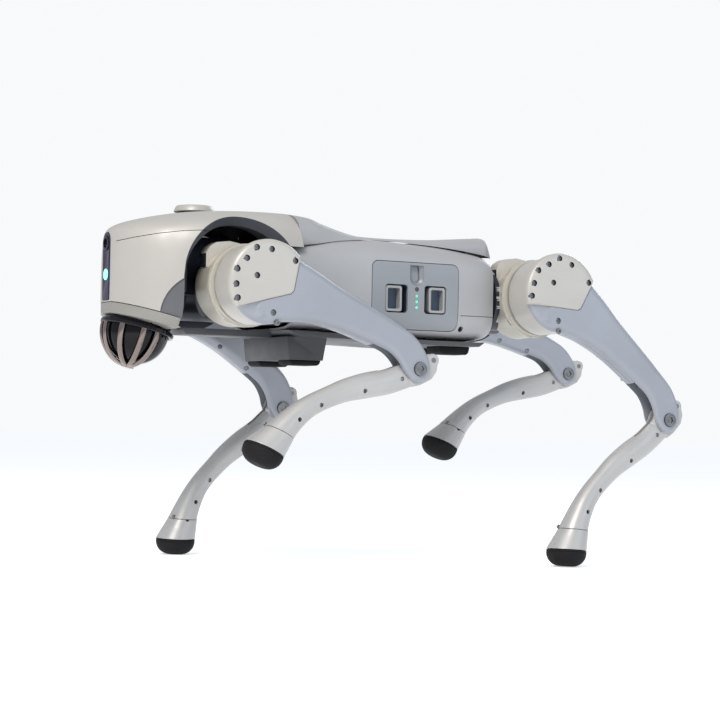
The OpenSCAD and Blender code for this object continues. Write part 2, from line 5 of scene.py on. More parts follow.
import bmesh
import bpy
import numpy as np
from mathutils import Matrix, Vector

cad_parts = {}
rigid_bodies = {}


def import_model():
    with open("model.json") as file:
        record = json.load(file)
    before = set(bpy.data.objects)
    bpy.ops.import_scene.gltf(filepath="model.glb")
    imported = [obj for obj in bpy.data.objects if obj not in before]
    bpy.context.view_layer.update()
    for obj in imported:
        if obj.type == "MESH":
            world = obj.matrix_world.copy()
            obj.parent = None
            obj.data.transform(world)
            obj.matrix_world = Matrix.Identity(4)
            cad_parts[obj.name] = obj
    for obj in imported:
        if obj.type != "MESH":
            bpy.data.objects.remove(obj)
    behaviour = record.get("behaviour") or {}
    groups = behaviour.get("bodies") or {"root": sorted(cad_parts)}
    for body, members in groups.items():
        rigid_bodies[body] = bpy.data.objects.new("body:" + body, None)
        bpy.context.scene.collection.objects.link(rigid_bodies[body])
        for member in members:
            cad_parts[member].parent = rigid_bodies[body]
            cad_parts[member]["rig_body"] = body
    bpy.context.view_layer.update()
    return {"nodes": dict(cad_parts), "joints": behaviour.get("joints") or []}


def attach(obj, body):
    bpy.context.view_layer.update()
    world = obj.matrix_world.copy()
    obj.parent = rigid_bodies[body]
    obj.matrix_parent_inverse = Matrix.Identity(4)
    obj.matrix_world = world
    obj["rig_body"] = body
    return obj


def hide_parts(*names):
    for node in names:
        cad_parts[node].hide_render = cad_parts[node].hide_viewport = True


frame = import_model()

MM = 0.001
JOINTS = {j["name"]: j for j in frame["joints"]}
LEGS = ("front_left", "front_right", "rear_left", "rear_right")


# ---------- places in the frame ----------

def joint_place(name):
    return Vector(JOINTS[name]["pos_m"])


def axes_matrix(origin, y, z):
    """Matrix with the given origin, y axis and z axis."""
    x = y.cross(z).normalized()
    m = Matrix((x, y, z)).transposed().to_4x4()
    m.translation = origin
    return m


def thigh_matrix(leg):
    pivot = joint_place(leg + "_thigh_swing")
    y = Vector(JOINTS[leg + "_thigh_swing"]["axis"])
    return axes_matrix(pivot, y, (pivot - joint_place(leg + "_knee_bend")).normalized())


def calf_matrix(leg):
    """The knee's lever points the same way as the crank, because the rod keeps them parallel."""
    y = Vector(JOINTS[leg + "_thigh_swing"]["axis"])
    crank = joint_place(leg + "_rod_turn") - joint_place(leg + "_thigh_swing")
    return axes_matrix(joint_place(leg + "_knee_bend"), y, crank.normalized())


TRUNK_ORIGIN = sum((joint_place(leg + "_hip_swing") for leg in LEGS), Vector()) / 4
TRUNK = Matrix.Translation(TRUNK_ORIGIN)


# ---------- mesh helpers, in millimetres ----------

def new_object(name, mesh):
    obj = bpy.data.objects.new(name, mesh)
    bpy.context.scene.collection.objects.link(obj)
    return obj


def from_rings(name, rings, endless=False):
    """Solid through rings that all have the same number of points; endless joins the last to the first."""
    bm = bmesh.new()
    rows = [[bm.verts.new(Vector(p) * MM) for p in ring] for ring in rings]
    count = len(rows[0])
    for a, b in zip(rows, rows[1:] + (rows[:1] if endless else [])):
        for i in range(count):
            k = (i + 1) % count
            bm.faces.new((a[i], a[k], b[k], b[i]))
    if not endless:
        bm.faces.new(rows[0][::-1])
        bm.faces.new(rows[-1])
    bmesh.ops.recalc_face_normals(bm, faces=bm.faces)
    mesh = bpy.data.meshes.new(name)
    bm.to_mesh(mesh)
    bm.free()
    return new_object(name, mesh)


def prism(name, outline, y0, y1):
    """Straight solid over an outline in x and z."""
    return from_rings(name, [[(x, y, z) for x, z in outline] for y in (y0, y1)])


def inset_outline(outline, distances):
    """Moves every point of a closed outline inwards by its own distance."""
    points = [Vector(p) for p in outline]
    area = sum(a.x * b.y - b.x * a.y for a, b in zip(points, points[1:] + points[:1]))
    turn = 1 if area > 0 else -1
    moved = []
    for i, p in enumerate(points):
        along = (points[(i + 1) % len(points)] - points[i - 1]).normalized()
        moved.append(p + turn * distances[i] * Vector((-along.y, along.x)))
    return [tuple(p) for p in moved]


def crowned_prism(name, outline, profile, weights=None):
    """Solid over an outline, whose sides follow a profile of (inset, y) steps."""
    weights = weights or [1.0] * len(outline)
    rings = []
    for inset, y in profile:
        ring = inset_outline(outline, [inset * w for w in weights])
        rings.append([(x, y, z) for x, z in ring])
    return from_rings(name, rings)


def lathe(name, profile, count=96, endless=False):
    """Solid of revolution about y, through (radius, y) steps from end to end."""
    angles = [2 * math.pi * i / count for i in range(count)]
    rings = [[(r * math.cos(a), y, r * math.sin(a)) for a in angles] for r, y in profile]
    return from_rings(name, rings, endless)


def front_prism(name, outline, x0, x1):
    """Straight solid over an outline in y and z."""
    return from_rings(name, [[(x, y, z) for y, z in outline] for x in (x0, x1)])


def lathe_tube(name, profile, x, z, side):
    """Ring of revolution about y, centred at x and z, on one side of the trunk."""
    obj = lathe(name, profile, 128, True)
    return to_side(obj, x, z, side)


def to_side(obj, x, z, side):
    obj.data.transform(Matrix.Translation(Vector((x, 0, z)) * MM))
    if side < 0:
        obj.data.transform(Matrix.Diagonal((1, -1, 1, 1)))
        obj.data.flip_normals()
    return obj


def tint(obj, mat, chosen):
    """Gives a second material to the faces whose centre, in millimetres, and normal pass a test."""
    obj.data.materials.append(mat)
    index = len(obj.data.materials) - 1
    for face in obj.data.polygons:
        if chosen(face.center / MM, face.normal):
            face.material_index = index


def cylinder(name, r, y0, y1, x=0.0, z=0.0, count=48):
    obj = lathe(name, [(r, y0), (r, y1)], count)
    obj.data.transform(Matrix.Translation(Vector((x, 0, z)) * MM))
    return obj


def cuboid(name, x0, x1, y0, y1, z0, z1):
    return prism(name, [(x0, z0), (x1, z0), (x1, z1), (x0, z1)], y0, y1)


def apply_modifiers(obj):
    graph = bpy.context.evaluated_depsgraph_get()
    mesh = bpy.data.meshes.new_from_object(obj.evaluated_get(graph))
    obj.modifiers.clear()
    obj.data = mesh


def boolean(obj, other, operation="DIFFERENCE", keep=False):
    mod = obj.modifiers.new("cut", "BOOLEAN")
    mod.operation = operation
    mod.solver = "MANIFOLD"
    mod.object = other
    apply_modifiers(obj)
    if not keep:
        bpy.data.objects.remove(other)
    return obj


def join(obj, *others):
    bm = bmesh.new()
    for o in (obj, *others):
        bm.from_mesh(o.data)
    bm.to_mesh(obj.data)
    bm.free()
    for o in others:
        bpy.data.objects.remove(o)
    return obj


def melt(obj, voxel, passes):
    """Turns overlapping solids into one cast-looking skin with filleted corners."""
    mod = obj.modifiers.new("remesh", "REMESH")
    mod.mode = "VOXEL"
    mod.voxel_size = voxel * MM
    smooth = obj.modifiers.new("smooth", "SMOOTH")
    smooth.factor = 0.5
    smooth.iterations = passes
    apply_modifiers(obj)
    return obj


def soften(obj, width, segments=2, angle=35):
    mod = obj.modifiers.new("bevel", "BEVEL")
    mod.width = width * MM
    mod.segments = segments
    mod.limit_method = "ANGLE"
    mod.angle_limit = math.radians(angle)
    mod.use_clamp_overlap = True
    apply_modifiers(obj)
    return obj


def shade(obj, angle=32):
    for polygon in obj.data.polygons:
        polygon.use_smooth = True
    obj.data.set_sharp_from_angle(angle=math.radians(angle))
    return obj


def blend_value(a, b, c, d, t):
    """Catmull-Rom value between b and c."""
    return 0.5 * (2 * b + (c - a) * t + (2 * a - 5 * b + 4 * c - d) * t ** 2
                  + (3 * b - a - 3 * c + d) * t ** 3)


def curve(points, steps):
    rows = [np.array(p, float) for p in points]
    last = len(rows) - 1
    out = []
    for i in range(last):
        a, b, c, d = rows[max(i - 1, 0)], rows[i], rows[i + 1], rows[min(i + 2, last)]
        out += [blend_value(a, b, c, d, k / steps) for k in range(steps)]
    return out + [rows[-1]]


def arc(radius, start, end, count, x=0.0, z=0.0):
    angles = np.radians(np.linspace(start, end, count))
    return [(x + radius * math.cos(a), z + radius * math.sin(a)) for a in angles]


def resample(outline, spacing):
    """Closed outline with points at an even spacing, corners kept."""
    out = []
    for (x0, z0), (x1, z1) in zip(outline, outline[1:] + outline[:1]):
        pieces = max(1, round(math.dist((x0, z0), (x1, z1)) / spacing))
        out += [(x0 + (x1 - x0) * k / pieces, z0 + (z1 - z0) * k / pieces) for k in range(pieces)]
    return out


# ---------- materials ----------

class Nodes:
    """Short names for building one material's nodes."""

    def __init__(self, name):
        self.mat = bpy.data.materials.new(name)
        self.mat.use_nodes = True
        self.tree = self.mat.node_tree
        self.shader = self.tree.nodes["Principled BSDF"]
        self.place = self.add("ShaderNodeTexCoord").outputs["Object"]

    def add(self, kind, inputs=None, **settings):
        node = self.tree.nodes.new(kind)
        for key, value in settings.items():
            setattr(node, key, value)
        for key, value in (inputs or {}).items():
            self.put(node.inputs[key], value)
        return node

    def put(self, socket, value):
        if isinstance(value, bpy.types.NodeSocket):
            self.tree.links.new(value, socket)
        else:
            socket.default_value = value

    def noise(self, scale, detail=3.0):
        node = self.add("ShaderNodeTexNoise", {"Vector": self.place, "Scale": scale, "Detail": detail})
        return node.outputs["Fac"]

    def spread(self, value, low, high, new_low=0.0, new_high=1.0):
        node = self.add("ShaderNodeMapRange", {"Value": value, "From Min": low, "From Max": high,
                                               "To Min": new_low, "To Max": new_high})
        return node.outputs["Result"]

    def mix(self, amount, a, b):
        node = self.add("ShaderNodeMix", data_type="RGBA")
        self.put(node.inputs[0], amount)
        self.put(node.inputs[6], a)
        self.put(node.inputs[7], b)
        return node.outputs[2]

    def math(self, operation, a, b=0.5):
        node = self.add("ShaderNodeMath", operation=operation)
        self.put(node.inputs[0], a)
        self.put(node.inputs[1], b)
        return node.outputs[0]

    def bump(self, height, strength, distance):
        node = self.add("ShaderNodeBump", {"Height": height, "Strength": strength, "Distance": distance})
        self.put(self.shader.inputs["Normal"], node.outputs["Normal"])


def rgba(color, scale=1.0):
    return (color[0] * scale, color[1] * scale, color[2] * scale, 1.0)


def surface(name, color, roughness, metallic=0.0, coat=0.0, grain=1400.0, grain_depth=0.03,
            mottling=0.05, wear=0.1, rough_spread=0.08):
    """Painted, cast or moulded surface: cloudy colour, fine grain, rubbed edges and painted shade in
    hollows.
    """
    n = Nodes(name)
    cloud = n.spread(n.noise(9.0, 4.0), 0.3, 0.7)
    base = n.mix(cloud, rgba(color, 1 - mottling), rgba(color, 1 + mottling))
    pointed = n.add("ShaderNodeNewGeometry").outputs["Pointiness"]
    rubbed = n.math("MULTIPLY", n.spread(pointed, 0.53, 0.60), n.spread(n.noise(160.0, 5.0), 0.35, 0.65))
    base = n.mix(n.math("MULTIPLY", rubbed, wear), base, rgba(color, 1.35))
    # Faces in hollows are darkened towards 0.45 of the colour: painted shade in creases and recesses.
    painted_hollow_shade = n.spread(pointed, 0.47, 0.40)
    base = n.mix(n.math("MULTIPLY", painted_hollow_shade, 0.45), base, rgba(color, 0.45))
    n.put(n.shader.inputs["Base Color"], base)
    n.put(n.shader.inputs["Metallic"], metallic)
    n.put(n.shader.inputs["Coat Weight"], coat)
    n.put(n.shader.inputs["Coat Roughness"], 0.12)
    smudges = n.spread(n.noise(38.0, 6.0), 0.35, 0.7, roughness - rough_spread, roughness + rough_spread)
    n.put(n.shader.inputs["Roughness"], smudges)
    n.bump(n.noise(grain, 2.0), 0.6, grain_depth * MM)
    return n.mat


def turned_metal(name, color, roughness):
    """Machined steel with fine turning marks."""
    n = Nodes(name)
    n.put(n.shader.inputs["Base Color"], n.mix(n.noise(300.0), rgba(color, 0.8), rgba(color, 1.1)))
    n.put(n.shader.inputs["Metallic"], 1.0)
    streaks = n.spread(n.noise(700.0), 0.3, 0.7, roughness - 0.08, roughness + 0.1)
    n.put(n.shader.inputs["Roughness"], streaks)
    marks = n.add("ShaderNodeTexWave", {"Vector": n.place, "Scale": 1200.0, "Distortion": 1.5})
    n.bump(marks.outputs["Fac"], 0.25, 0.02 * MM)
    return n.mat


def glowing(name, color, strength):
    """Glowing lamp cover, slightly cloudy."""
    n = Nodes(name)
    cloud = n.mix(n.noise(500.0), rgba(color, 0.75), rgba(color, 1.0))
    n.put(n.shader.inputs["Base Color"], cloud)
    n.put(n.shader.inputs["Roughness"], 0.25)
    n.put(n.shader.inputs["Emission Color"], cloud)
    n.put(n.shader.inputs["Emission Strength"], strength)
    return n.mat


SHELL = surface("shell_paint", (0.375, 0.362, 0.342), 0.46, 0.12, 0.06)
# Darker, bluer copy of the shell paint for the trunk's shells: painted shade.
TRUNK_SHELL_SHADE = surface("shell_paint_cool_shade", (0.315, 0.318, 0.33), 0.46, 0.12, 0.06)
PANEL = surface("panel_paint", (0.225, 0.24, 0.262), 0.44, 0.15, 0.06)
# Near-black copy of the shell paint for the cheek panels: painted shade.
SHELL_SHADE = surface("shell_painted_shade", (0.10, 0.102, 0.115), 0.45, 0.2)
CHIN_PAINT = surface("chin_paint", (0.24, 0.232, 0.215), 0.42, 0.15)
# Near-black paint on the walls and chamfers of the wheel arches: painted shade.
ARCH_SHADE = surface("arch_painted_shade", (0.060, 0.066, 0.082), 0.5, 0.1)
COVER_PAINT = surface("cover_paint", (0.415, 0.40, 0.375), 0.42, 0.15, 0.08)
# Darker, bluer copy of the shell paint for the thigh castings: painted shade.
THIGH_SHADE = surface("thigh_painted_shade", (0.275, 0.292, 0.33), 0.42, 0.2, 0.08)
CALF_PAINT = surface("calf_paint", (0.40, 0.397, 0.395), 0.42, 0.2, 0.08)
CREAM = surface("ring_paint", (0.44, 0.415, 0.36), 0.42, 0.25, 0.08)
DARK_METAL = surface("dark_anodised", (0.030, 0.034, 0.045), 0.42, 0.6, 0.0, 2200.0)
DARK_PLASTIC = surface("dark_moulding", (0.048, 0.05, 0.056), 0.5, 0.0, 0.0, 900.0, 0.08)
# Near-black paint on the shells' inward-looking faces and in screw seats: painted shade.
INSIDE_SHADE = surface("shell_inside_shade", (0.010, 0.012, 0.020), 0.65, 0.0)
RUBBER = surface("black_rubber", (0.009, 0.009, 0.010), 0.78, 0.0, 0.0, 650.0, 0.12, 0.2, 0.3)
GLOSS = surface("gloss_black", (0.006, 0.005, 0.009), 0.10, 0.0, 0.0, 60.0, 0.0, 0.1, 0.0, 0.03)
STRIP = surface("strip_glass", (0.022, 0.016, 0.045), 0.18, 0.0, 0.0, 60.0, 0.0, 0.1, 0.0, 0.03)
DOME = surface("dome_glass", (0.002, 0.0016, 0.003), 0.09, 0.0, 0.0, 60.0, 0.0, 0.1, 0.0, 0.02)
for glass, level in ((GLOSS, 0.25), (STRIP, 0.2), (DOME, 0.22), (RUBBER, 0.2)):
    glass.node_tree.nodes["Principled BSDF"].inputs["Specular IOR Level"].default_value = level
# Pinkish-brown metal on the black guard ribs: painted pinkish highlights as a sheen.
CAGE_SHEEN = surface("cage_painted_sheen", (0.20, 0.162, 0.148), 0.16, 0.9, 0.4, 200.0, 0.0, 0.15, 0.3, 0.05)
BOARD = surface("circuit_board", (0.01, 0.06, 0.03), 0.4)
STEEL = turned_metal("screw_steel", (0.20, 0.20, 0.205), 0.34)
LATCH = surface("latch_paint", (0.30, 0.30, 0.30), 0.36, 0.3)
PULL_DARK = surface("pull_dark", (0.04, 0.055, 0.085), 0.42, 0.4)
LAMP = glowing("lamp_teal", (0.20, 0.85, 0.62), 1.6)
LED = glowing("led_green", (0.02, 0.75, 0.32), 2.5)


def paint(obj, mat):
    """Sets the main material and leaves any second one."""
    if obj.data.materials:
        obj.data.materials[0] = mat
    else:
        obj.data.materials.append(mat)
    return obj


def looks_inwards(p, normal):
    """True on the faces that look towards the trunk's axis."""
    return normal.dot(Vector((0, -p.y, 10 - p.z)).normalized()) > 0.35


def settle(obj, place, body, mat, replaced=()):
    """Puts a finished piece in its place, on its body, in its material."""
    obj.data = obj.data.copy()
    obj.data.transform(place)
    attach(obj, body)
    paint(obj, mat)
    if replaced:
        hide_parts(*replaced)
    return obj


# ---------- legs ----------

ARM_REAR = [(-43, 6), (-42, -16), (-41, -50), (-38.5, -80), (-37.5, -127), (-36.5, -158),
            (-34, -183), (-29, -201), (-20, -216), (-10, -225), (0, -228.5)]
ARM_FRONT = [(0, -228.5), (9, -226.5), (15, -220), (16.5, -211), (12, -198), (5, -187), (0.5, -172),
             (1, -156), (3.5, -129), (6.5, -105), (11.5, -82), (18.5, -60), (27, -42), (37, -22), (44, 0)]
COVER_FRONT, COVER_LOW_FRONT = (56, 40.2), (-0.8, -28.6)
COVER_LOW_REAR, COVER_REAR = (-6, -30.2), (-61, -16.5)
ROD_SLOT = [(-33, -20), (-33, -182), (-50, -190), (-50, -250), (40, -250), (40, -151), (-3, -147),
            (-0.5, -129), (2.5, -105), (7.5, -82), (14.5, -60), (20.5, -42), (24, -20)]
COVER_SCREWS = [(33.5, 28.5), (20.3, 36.8), (5, 43), (-11, 38), (-27.5, 32.5), (-34, 15.5), (-36, -16),
                (0.5, 18.7)]
CASING_SCREWS = [(28, -18), (35.5, -28)]
INNER_SCREWS = [(3.0, -96.5), (-2.0, -141.5)]
THIGH = 213.0
CASE_R = 46.0
SEAT_R = 3.55
KNEE_END_WEIGHT, KNEE_END_Z = 0.4, -205.0
ARM_HALF, ARM_EDGE, ARM_SLOT_HALF = 15, 10, 9.5
CASING_PROFILE = [(40, -37), (44.5, -36), (CASE_R, -33.5), (CASE_R, 8), (43, 11.5), (37, 13)]
KNEE_BORE_R, KNEE_SEAT_R = 5.03, 8.4
GROOVE_DEPTH = 1.1
COVER_R = 49.0


def arm_outline():
    rear = [tuple(p) for p in curve(ARM_REAR, 6)]
    front = [tuple(p) for p in curve(ARM_FRONT, 6)]
    return resample(rear + front[1:], 3.0)


def rounded_edge(radius, y0, y1, steps=6):
    """Profile of a slab whose two rims are rounded."""
    angles = [math.pi / 2 * k / steps for k in range(steps + 1)]
    low = [(radius * (1 - math.sin(a)), y0 + radius * (1 - math.cos(a))) for a in angles]
    high = [(radius * (1 - math.sin(a)), y1 - radius * (1 - math.cos(a))) for a in reversed(angles)]
    return low + high


def cover_outline(radius, spacing=2.0):
    """Arc over the top and back, closed by the three straight edges below and in front."""
    front = edge_angle(COVER_LOW_FRONT, COVER_FRONT, radius)
    rear = edge_angle(COVER_LOW_REAR, COVER_REAR, radius)
    outline = arc(radius, front, rear + 360, 60) + [COVER_LOW_REAR, COVER_LOW_FRONT]
    return resample(outline, spacing)


def edge_angle(inner, outer, radius):
    """Angle at which a line from a point inside a circle to one outside crosses it."""
    low, high = 0.0, 1.0
    for _ in range(40):
        t = (low + high) / 2
        x, z = (a + (b - a) * t for a, b in zip(inner, outer))
        low, high = (t, high) if math.hypot(x, z) < radius else (low, t)
    return math.degrees(math.atan2(z, x))


def thigh_mesh():
    outline = arm_outline()
    weights = [float(min(1.0, max(KNEE_END_WEIGHT, (z - KNEE_END_Z) / 45))) for _, z in outline]
    arm = crowned_prism("thigh", outline, rounded_edge(ARM_EDGE, -ARM_HALF, ARM_HALF), weights)
    casing = lathe("casing", CASING_PROFILE)
    obj = melt(join(arm, casing), 1.25, 14)
    boolean(obj, lathe("inner_ring", [(30, -39.2), (30, -34)]), "UNION")
    cover = resample(cover_outline(COVER_R + 0.6), 4.0)
    boolean(obj, prism("cover_seat", cover, 6, 22))
    boolean(obj, cylinder("motor_room", 39.5, -34, 6.5, count=96))
    boolean(obj, cylinder("shaft_hole", 9, -41, -30))
    boolean(obj, prism("rod_slot", ROD_SLOT, -ARM_SLOT_HALF, ARM_SLOT_HALF))
    boolean(obj, prism("crank_room", arc(39.4, 180, 360, 48), -ARM_SLOT_HALF, 6))
    boolean(obj, cylinder("knee_bore", KNEE_BORE_R, -30, 30, 0, -THIGH))
    for y0, y1 in ((13.5, 22), (-22, -13.5)):
        boolean(obj, cylinder("knee_seat", KNEE_SEAT_R, y0, y1, 0, -THIGH))
    for x, z in CASING_SCREWS:
        boolean(obj, cylinder("screw_seat", 3.7, 11, 22, x, z))
    for x, z in INNER_SCREWS:
        boolean(obj, cylinder("screw_seat", 3.4, -22, -12.6, x, z))
    groove = prism("groove", inset_outline(outline, [-4.0] * len(outline)), 3.4, 4.1)
    core = prism("core", inset_outline(outline, [GROOVE_DEPTH] * len(outline)), 2, 6)
    boolean(groove, core)
    boolean(groove, cylinder("casing_core", CASE_R + 1, 0, 8))
    boolean(obj, groove)
    # The arm gets the darker, bluer copy of the shell paint, which is painted shade; the casing faces next
    # to the cover get the cover paint.
    obj.data.materials.append(THIGH_SHADE)
    tint(obj, COVER_PAINT, lambda p, n: p.y < 5 and math.hypot(p.x, p.z) < CASE_R + 1)
    return shade(obj, 40).data


def in_cover_seat(p, _):
    """True on the faces inside the cover's screw seats."""
    return p.y < 16.2 and any(math.dist((p.x, p.z), s) < SEAT_R + 0.05 for s in COVER_SCREWS)


def cover_mesh():
    outline = cover_outline(COVER_R)
    weights = [1.0 if math.hypot(x, z) > COVER_R - 0.4 else 0.2 for x, z in outline]
    for _ in range(3):
        after = weights[1:] + weights[:1]
        weights = [(weights[i - 1] + weights[i] + after[i]) / 3 for i in range(len(weights))]
    profile = [(0, 6), (0, 10.8), (0.3, 12.2), (1.0, 13.5), (2.2, 14.6), (4.0, 15.4), (6.5, 16.0),
               (9.5, 16.35), (13.5, 16.5)]
    obj = crowned_prism("motor_cover", outline, profile, weights)
    for x, z in COVER_SCREWS:
        boolean(obj, cylinder("screw_seat", SEAT_R, 11.95, 22, x, z))
        boolean(obj, cylinder("screw_hole", 1.9, 4, 13, x, z))
    obj.data.materials.append(COVER_PAINT)
    # The screw seats are painted near-black: painted shade in the recesses.
    tint(obj, INSIDE_SHADE, in_cover_seat)
    return shade(obj, 38).data


def small_screw(name, x, z, y, head_r=3.0, side=1):
    """Button screw with a hexagon socket, its head facing side * y."""
    obj = lathe(name, [(head_r * 0.8, -2.0), (head_r, -1.5), (head_r, -0.6), (head_r * 0.8, 0)], 32)
    socket = cylinder("socket", head_r * 0.48, -1.3, 1, count=6)
    boolean(obj, socket)
    obj.data.transform(Matrix.Diagonal((1, side, 1, 1)))
    if side < 0:
        obj.data.flip_normals()
    obj.data.transform(Matrix.Translation(Vector((x, y, z)) * MM))
    return obj


def inner_screws_mesh():
    screws = [small_screw("screw", x, z, -12.9, 2.9, -1) for x, z in INNER_SCREWS]
    return shade(join(*screws), 40).data


CALF = [(8, -2, 15, 8, 0), (20, 0, 15.5, 8.8, 8), (40, 3, 15, 11, 16), (66, 10.5, 14.8, 12.5, 16),
        (91, 16.5, 13.3, 12, 9), (112, 19, 12.2, 11.5, 4), (132, 20.3, 12.2, 11.8, -2),
        (150, 19.5, 13, 13, -12), (170, 15.5, 15, 15.5, -26), (187, 10.5, 17.8, 18, -36)]
SLEEVE = [(187.8, 9.9, 18, 18.2, -36), (198, 6.5, 20.8, 20.5, -38), (211.6, 1.8, 24.2, 23.7, -38)]
KNEE_TAB = [(-7, 27), (-14, 22), (-19, 12), (-18.5, -4), (-16, -14), (14, -14), (14, 9), (7.4, 24)]
FORK_SLOT = [(-30, 40), (-30, -7), (5, -8), (16, -44), (40, -44), (40, 40)]
CALF_SCREWS = [(-1.5, -23), (7.5, -74), (17, -131), (15, -164)]
SLEEVE_SCREWS = [(24, -195), (11, -188)]
LEVER = 24.0
CALF_HALF, FORK_HALF, CALF_SEAT_R = 8.5, 3.8, 2.7
FOOT_CENTRE = (1.5, 0, -212)
FOOT_TILT = 38.0
FOOT_R = 24.0
SOLE_DEPTH, SOLE_ROUND = 19.5, 16.0


def limb_ring(p, count=44):
    down, forward, depth, width, tilt = p
    t = math.radians(tilt)
    ring = []
    for i in range(count):
        a = 2 * math.pi * i / count
        u = depth * math.cos(a)
        ring.append((forward + u * math.cos(t), -width * math.sin(a), -down + u * math.sin(t)))
    return ring


def limb(name, stations, steps):
    return from_rings(name, [limb_ring(p) for p in curve(stations, steps)])


def radial_cut(name, station_x, station_z, side, radius):
    """Short hole across the limb, from 4 mm under the surface outwards."""
    low, high = (7.5, 40) if side > 0 else (-40, -7.5)
    return cylinder(name, radius, low, high, station_x, station_z, 28)


def end_block(offset):
    """Everything past the calf's slanted end, where the sleeve begins."""
    down, forward, _, _, tilt = CALF[-1]
    obj = cuboid("end", -60, 60, -60, 60, -80, 0)
    obj.data.transform(Matrix.Rotation(math.radians(-tilt), 4, "Y"))
    obj.data.transform(Matrix.Translation(Vector((forward, 0, -down + offset)) * MM))
    return obj


def calf_mesh():
    shin = limb("calf", CALF + [SLEEVE[1]], 6)
    tab = crowned_prism("tab", resample(KNEE_TAB, 3.0), rounded_edge(1.5, -CALF_HALF, CALF_HALF, 3))
    knee = lathe("knee", [(15, -8.5), (17, -7), (17, 7), (15, 8.5)])
    eye = lathe("eye", [(6.5, -8.5), (7.7, -7.4), (7.7, 7.4), (6.5, 8.5)])
    eye.data.transform(Matrix.Translation((0, 0, LEVER * MM)))
    obj = melt(join(shin, tab, knee, eye), 1.0, 5)
    boolean(obj, end_block(-0.4))
    boolean(obj, cylinder("knee_bore", 5.06, -30, 30))
    boolean(obj, prism("fork_slot", FORK_SLOT, -FORK_HALF, FORK_HALF))
    for x, z in CALF_SCREWS:
        for side in (-1, 1):
            boolean(obj, radial_cut("screw_seat", x, z, side, CALF_SEAT_R))
    return shade(obj, 40).data


def calf_screws_mesh():
    places = [(p, side) for p in CALF_SCREWS for side in (-1, 1)]
    screws = [small_screw("screw", x, z, side * 8.2, 2.5, side) for (x, z), side in places]
    return shade(join(*screws), 40).data


def sleeve_mesh():
    obj = limb("sleeve", SLEEVE, 8)
    for x, z in SLEEVE_SCREWS:
        boolean(obj, cylinder("screw_seat", CALF_SEAT_R, -40, -9, x, z, 28))
    soften(obj, 0.7, 2, 50)
    return shade(obj, 40).data


def sleeve_screws_mesh():
    screws = [small_screw("screw", x, z, -9.6, 2.5, -1) for x, z in SLEEVE_SCREWS]
    return shade(join(*screws), 40).data


def foot_mesh():
    """Rubber cup: a lip against the sleeve, a rounded tread and two moulding lines."""
    r, depth = FOOT_R, SOLE_DEPTH
    corner = [(r - SOLE_ROUND * (1 - math.cos(a)), -(depth - SOLE_ROUND) - SOLE_ROUND * math.sin(a))
              for a in np.linspace(0.05, math.pi / 2, 18)]
    rim = [(r - 1.2, 0), (r - 0.4, -0.3), (r, -1.0), (r, -1.9), (r - 0.5, -2.3), (r, -2.7)]
    profile = [(2, 0)] + rim + corner + [(5, -depth - 0.02), (2, -depth - 0.02)]
    obj = lathe("foot", profile, 80)
    obj.data.transform(Matrix.Rotation(math.radians(90), 4, "X"))
    obj.data.transform(Matrix.Rotation(math.radians(FOOT_TILT), 4, "Y"))
    obj.data.transform(Matrix.Translation(Vector(FOOT_CENTRE) * MM))
    return shade(obj, 40).data


def mirrored(mesh):
    copy = mesh.copy()
    copy.transform(Matrix.Diagonal((1, -1, 1, 1)))
    copy.flip_normals()
    return copy


def clear_scratch():
    """Drops the objects that only carried a mesh while it was made."""
    for obj in list(bpy.data.objects):
        if obj.type == "MESH" and "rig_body" not in obj:
            bpy.data.objects.remove(obj)


LEG_PIECES = {
    # name: (mesh, frame, body, material, slot, replaced node)
    # The thigh casting wears the darker, bluer copy of the shell paint: painted shade.
    "thigh_casting": (thigh_mesh(), thigh_matrix, "thigh", THIGH_SHADE, "shell_metal", "thigh_shell"),
    "motor_cover_plate": (cover_mesh(), thigh_matrix, "thigh", COVER_PAINT, "cream_metal", "motor_cover"),
    "thigh_inner_screws": (inner_screws_mesh(), thigh_matrix, "thigh", STEEL, "screw_steel", None),
    "calf_casting": (calf_mesh(), calf_matrix, "calf", CALF_PAINT, "shell_metal", "calf_shell"),
    "calf_sleeve": (sleeve_mesh(), calf_matrix, "calf", CALF_PAINT, "shell_metal", None),
    "calf_screws": (calf_screws_mesh(), calf_matrix, "calf", STEEL, "screw_steel", None),
    "sleeve_screws": (sleeve_screws_mesh(), calf_matrix, "calf", STEEL, "screw_steel", None),
    "rubber_foot": (foot_mesh(), calf_matrix, "calf", RUBBER, "rubber", "foot"),
}
LEVER_PIN = shade(cylinder("lever_pin", 3, -8.7, 8.7, 0, LEVER)).data
LEG_PIECES["lever_pin"] = (LEVER_PIN, calf_matrix, "calf", STEEL, "screw_steel", None)
clear_scratch()

for piece, (mesh, matrix, body, mat, slot_name, node) in LEG_PIECES.items():
    flipped = mirrored(mesh)
    for leg in LEGS:
        own = flipped if leg.endswith("right") else mesh
        obj = new_object(f"{leg}_{piece}", own)
        settle(obj, matrix(leg), f"{leg}_{body}", mat, [f"{leg}_{node}"] if node else ())

# ---------- trunk and head ----------

